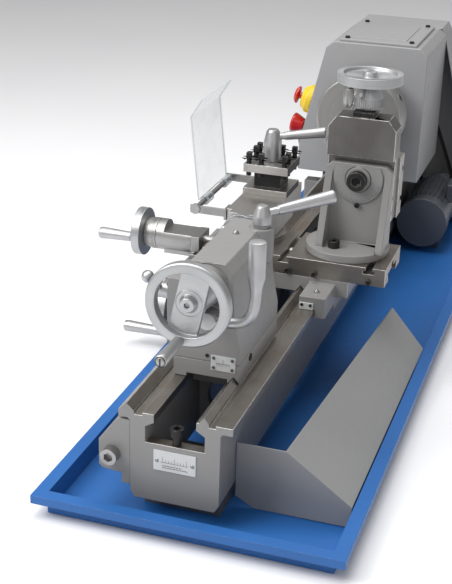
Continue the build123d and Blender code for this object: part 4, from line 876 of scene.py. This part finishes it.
def headstockParts():
    low, high = box("headstock_housing")
    coverEnd = box("end_cover")[0].x
    seam = bmesh.new()
    for y, z in coverFacts["spots"]:
        addSocketScrew(seam, (coverEnd + coverFacts["sunk"], y, z), (-1, 0, 0), *coverFacts["size"])
    finishMesh("cover_screws", seam, "frame", [blackOxideAndShade])
    lid = bmesh.new()
    (y0, y1), (padLow, padHigh) = lidFacts["y"], lidFacts["padY"]
    addBlock(lid, (low.x + lidFacts["inset"], y0, high.z - lidFacts["sunk"]),
             (lidFacts["end"], y1, high.z + lidFacts["height"]), lidFacts["edge"], 3)
    addBlock(lid, (low.x + lidFacts["padInset"], padLow, high.z + lidFacts["padLow"]),
             (lidFacts["padEnd"], padHigh, high.z + lidFacts["padHigh"]), lidFacts["padEdge"], 2)
    finishMesh("headstock_lid", lid, "frame", [coverPaint])
    screws = bmesh.new()
    for x in (low.x + lidFacts["screwInset"], lidFacts["screwEnd"]):
        for y in lidFacts["screwY"]:
            addSocketScrew(screws, (x, y, high.z + lidFacts["screwLow"]), (0, 0, 1), *lidFacts["screwSize"])
    finishMesh("headstock_lid_screws", screws, "frame", [blackOxideAndShade])


keyFacts = {"turns": (60, 180, 300), "along": 30, "radius": 79.2,
            "ring": [(6.4, 0), (9.2, 0), (9.2, 1.0), (8.6, 1.5), (7.0, 1.5), (6.4, 1.0), (6.4, 0)],
            "socket": [(0, 0.9), (6.2, 0.9), (6.2, 1.2), (5.4, 1.2), (5.4, 1.05), (0, 1.05)]}


def chuckParts():
    x = box("chuck_body")[0].x + keyFacts["along"]
    rings, sockets = bmesh.new(), bmesh.new()
    for turn in keyFacts["turns"]:
        angle = math.radians(turn)
        out = Vector((0, -math.sin(angle), math.cos(angle)))
        spot = Vector((x, 0, spindleLevel)) + out * keyFacts["radius"]
        addTurned(rings, keyFacts["ring"], spot, out, 32)
        # painted shade: a dark square sits inside each ring in place of the key's square hole
        addTurned(sockets, keyFacts["socket"], spot, out, 4)
    finishMesh("chuck_key_rings", rings, "spindle", [satinSteel])
    finishMesh("chuck_key_socket_shades", sockets, "spindle", [blackOxideAndShade])


panelFacts = {"z": 178, "speedX": -541, "directionX": -593, "lampX": -499, "mark": (2.6, 0.6, 0.2),
              "lamp": [(0, -0.4), (6.5, -0.4), (6.5, 1.5), (5.2, 2.2), (4.6, 2.2), (4.2, 3.6), (2.6, 4.9),
                       (0, 5.4)],
              "pointer": (0.6, 0.25, 0.3), "pointerEdge": 0.1}


def panelParts():
    face, level = box("control_panel")[0].y, panelFacts["z"]
    marks = bmesh.new()
    for x, count, arc, radius in ((panelFacts["speedX"], 11, 280, 20.6),
                                  (panelFacts["directionX"], 3, 90, 20.0)):
        place = facing((x, face, level), (0, -1, 0))
        for i in range(count):
            turn = Matrix.Rotation(math.radians(90 - arc / 2 + arc * i / (count - 1)), 4, "Z")
            addBar(marks, panelFacts["mark"], place @ turn @ Matrix.Translation((radius * mm, 0, 0)))
    finishMesh("panel_marks", marks, "frame", [wiperWhite])
    half, sunk, proud = panelFacts["pointer"]
    for name, body, x, y, low, high, rim, crown, steps in (
            ("speed_pointer", "speed_knob", panelFacts["speedX"], -160.0, 180, 189, 4.6, 4.2, 24),
            ("direction_pointer", "direction_switch", panelFacts["directionX"], -158.0, 182, 192, 2.2, 1.9,
             20)):
        bm = bmesh.new()
        addBlock(bm, (x - half, y - sunk, low), (x + half, y + proud, high), panelFacts["pointerEdge"], 1)
        cap = [(0, -0.3), (rim, -0.3), (rim, 0.2), (crown, 0.5), (0, 0.5)]
        addTurned(bm, cap, (x, y, level), (0, -1, 0), steps)
        finishMesh(name, bm, body, [wiperWhite])
    lamp = bmesh.new()
    addTurned(lamp, panelFacts["lamp"], (panelFacts["lampX"], face, level), (0, -1, 0), 28)
    finishMesh("panel_lamp", lamp, "frame", [satinChrome])


finFacts = {"y": 118.0, "z": 64.0, "radius": 47.2, "along": 88, "count": 22, "first": -38, "step": 10.5,
            "size": (118, 2.0, 5.0), "edge": 0.5}
terminalFacts = {"x": (62, 118), "y": (150, 176), "z": (88, 124), "edge": 3.0, "coverX": (59.5, 120.5),
                 "coverY": (175.4, 178.6), "coverZ": (85.5, 126.5), "coverEdge": 1.2, "screwX": (66, 114),
                 "screwZ": (92, 120), "screwBase": 178.4, "screwSize": (2.4, 1.6)}


def motorFins():
    start = box("motor")[0].x
    bm = bmesh.new()
    centre = Matrix.Translation(Vector((start + finFacts["along"], finFacts["y"], finFacts["z"])) * mm)
    for i in range(finFacts["count"]):
        turn = Matrix.Rotation(math.radians(finFacts["first"] + i * finFacts["step"]), 4, "X")
        out = Matrix.Translation((0, 0, finFacts["radius"] * mm))
        addBar(bm, finFacts["size"], centre @ turn @ out, finFacts["edge"])
    finishMesh("motor_fins", bm, "frame", [motorPaint])
    lidBox = bmesh.new()
    for keys, edge, segments in ((("x", "y", "z"), "edge", 3),
                                 (("coverX", "coverY", "coverZ"), "coverEdge", 2)):
        (x0, x1), (y0, y1), (z0, z1) = (terminalFacts[key] for key in keys)
        addBlock(lidBox, (start + x0, y0, z0), (start + x1, y1, z1), terminalFacts[edge], segments)
    for x in terminalFacts["screwX"]:
        for z in terminalFacts["screwZ"]:
            addSocketScrew(lidBox, (start + x, terminalFacts["screwBase"], z), (0, 1, 0),
                           *terminalFacts["screwSize"])
    finishMesh("motor_terminal_box", lidBox, "frame", [motorPaint])


headstockParts()
chuckParts()
panelParts()
motorFins()
print("headstock details done")

studioFacts = {"floorHalf": 9.0, "floorLevel": -1 * mm, "sky": 0.42}


def studio():
    bm = bmesh.new()
    bmesh.ops.create_grid(bm, x_segments=2, y_segments=2, size=studioFacts["floorHalf"])
    mesh = bpy.data.meshes.new("floor")
    bm.to_mesh(mesh)
    bm.free()
    floor = bpy.data.objects.new("floor", mesh)
    bpy.context.scene.collection.objects.link(floor)
    material, tree, shader = startMaterial("floorFinish", Roughness=0.85)
    cloud = noise(tree, places(tree), 2, 2)
    feed(tree, shader, Base_Color=mixColour(tree, cloud, tone(242, 242, 243), tone(236, 236, 238)))
    mesh.materials.append(material)
    floor.location.z = studioFacts["floorLevel"]
    world = bpy.data.worlds.new("studioSky")
    bpy.context.scene.world = world
    world.use_nodes = True
    sky = world.node_tree.nodes["Background"]
    sky.inputs["Color"].default_value = (1.0, 1.0, 1.0, 1.0)
    sky.inputs["Strength"].default_value = studioFacts["sky"]


def softLight(name, spot, target, size, power):
    data = bpy.data.lights.new(name, "AREA")
    data.shape = "RECTANGLE"
    data.size, data.size_y = size
    data.energy = power
    lamp = bpy.data.objects.new(name, data)
    bpy.context.scene.collection.objects.link(lamp)
    lamp.location = spot
    lamp.rotation_euler = (Vector(target) - Vector(spot)).to_track_quat("-Z", "Y").to_euler()


cameraFacts = {"spot": (1.8955, 0.4706, 0.8990), "right": (-0.3167, 0.9481, 0.0264),
               "up": (-0.3627, -0.1468, 0.9202), "back": (0.8764, 0.2819, 0.3904), "lens": 78.1,
               "sensor": 36.0, "shift": (0.0029, -0.0020), "clip": (0.05, 60.0)}


def takeCamera():
    data = bpy.data.cameras.new("camera")
    data.lens = cameraFacts["lens"]
    data.sensor_width = cameraFacts["sensor"]
    data.shift_x, data.shift_y = cameraFacts["shift"]
    data.clip_start, data.clip_end = cameraFacts["clip"]
    camera = bpy.data.objects.new("camera", data)
    bpy.context.scene.collection.objects.link(camera)
    columns = [Vector(cameraFacts[key]).normalized() for key in ("right", "up", "back")]
    turn = Matrix(columns).transposed().to_4x4()
    camera.matrix_world = Matrix.Translation(cameraFacts["spot"]) @ turn
    bpy.context.scene.camera = camera


studio()
softLight("keyLight", (1.5, -1.5, 1.9), (0.3, 0.0, 0.2), (1.4, 1.2), 48)
softLight("fillLight", (2.2, 0.9, 1.2), (0.3, 0.0, 0.2), (1.6, 1.2), 4)
softLight("topLight", (0.1, -0.2, 2.4), (0.2, 0.0, 0.1), (2.6, 1.2), 44)
takeCamera()
bpy.context.scene.view_settings.view_transform = "Standard"
print("studio ready")
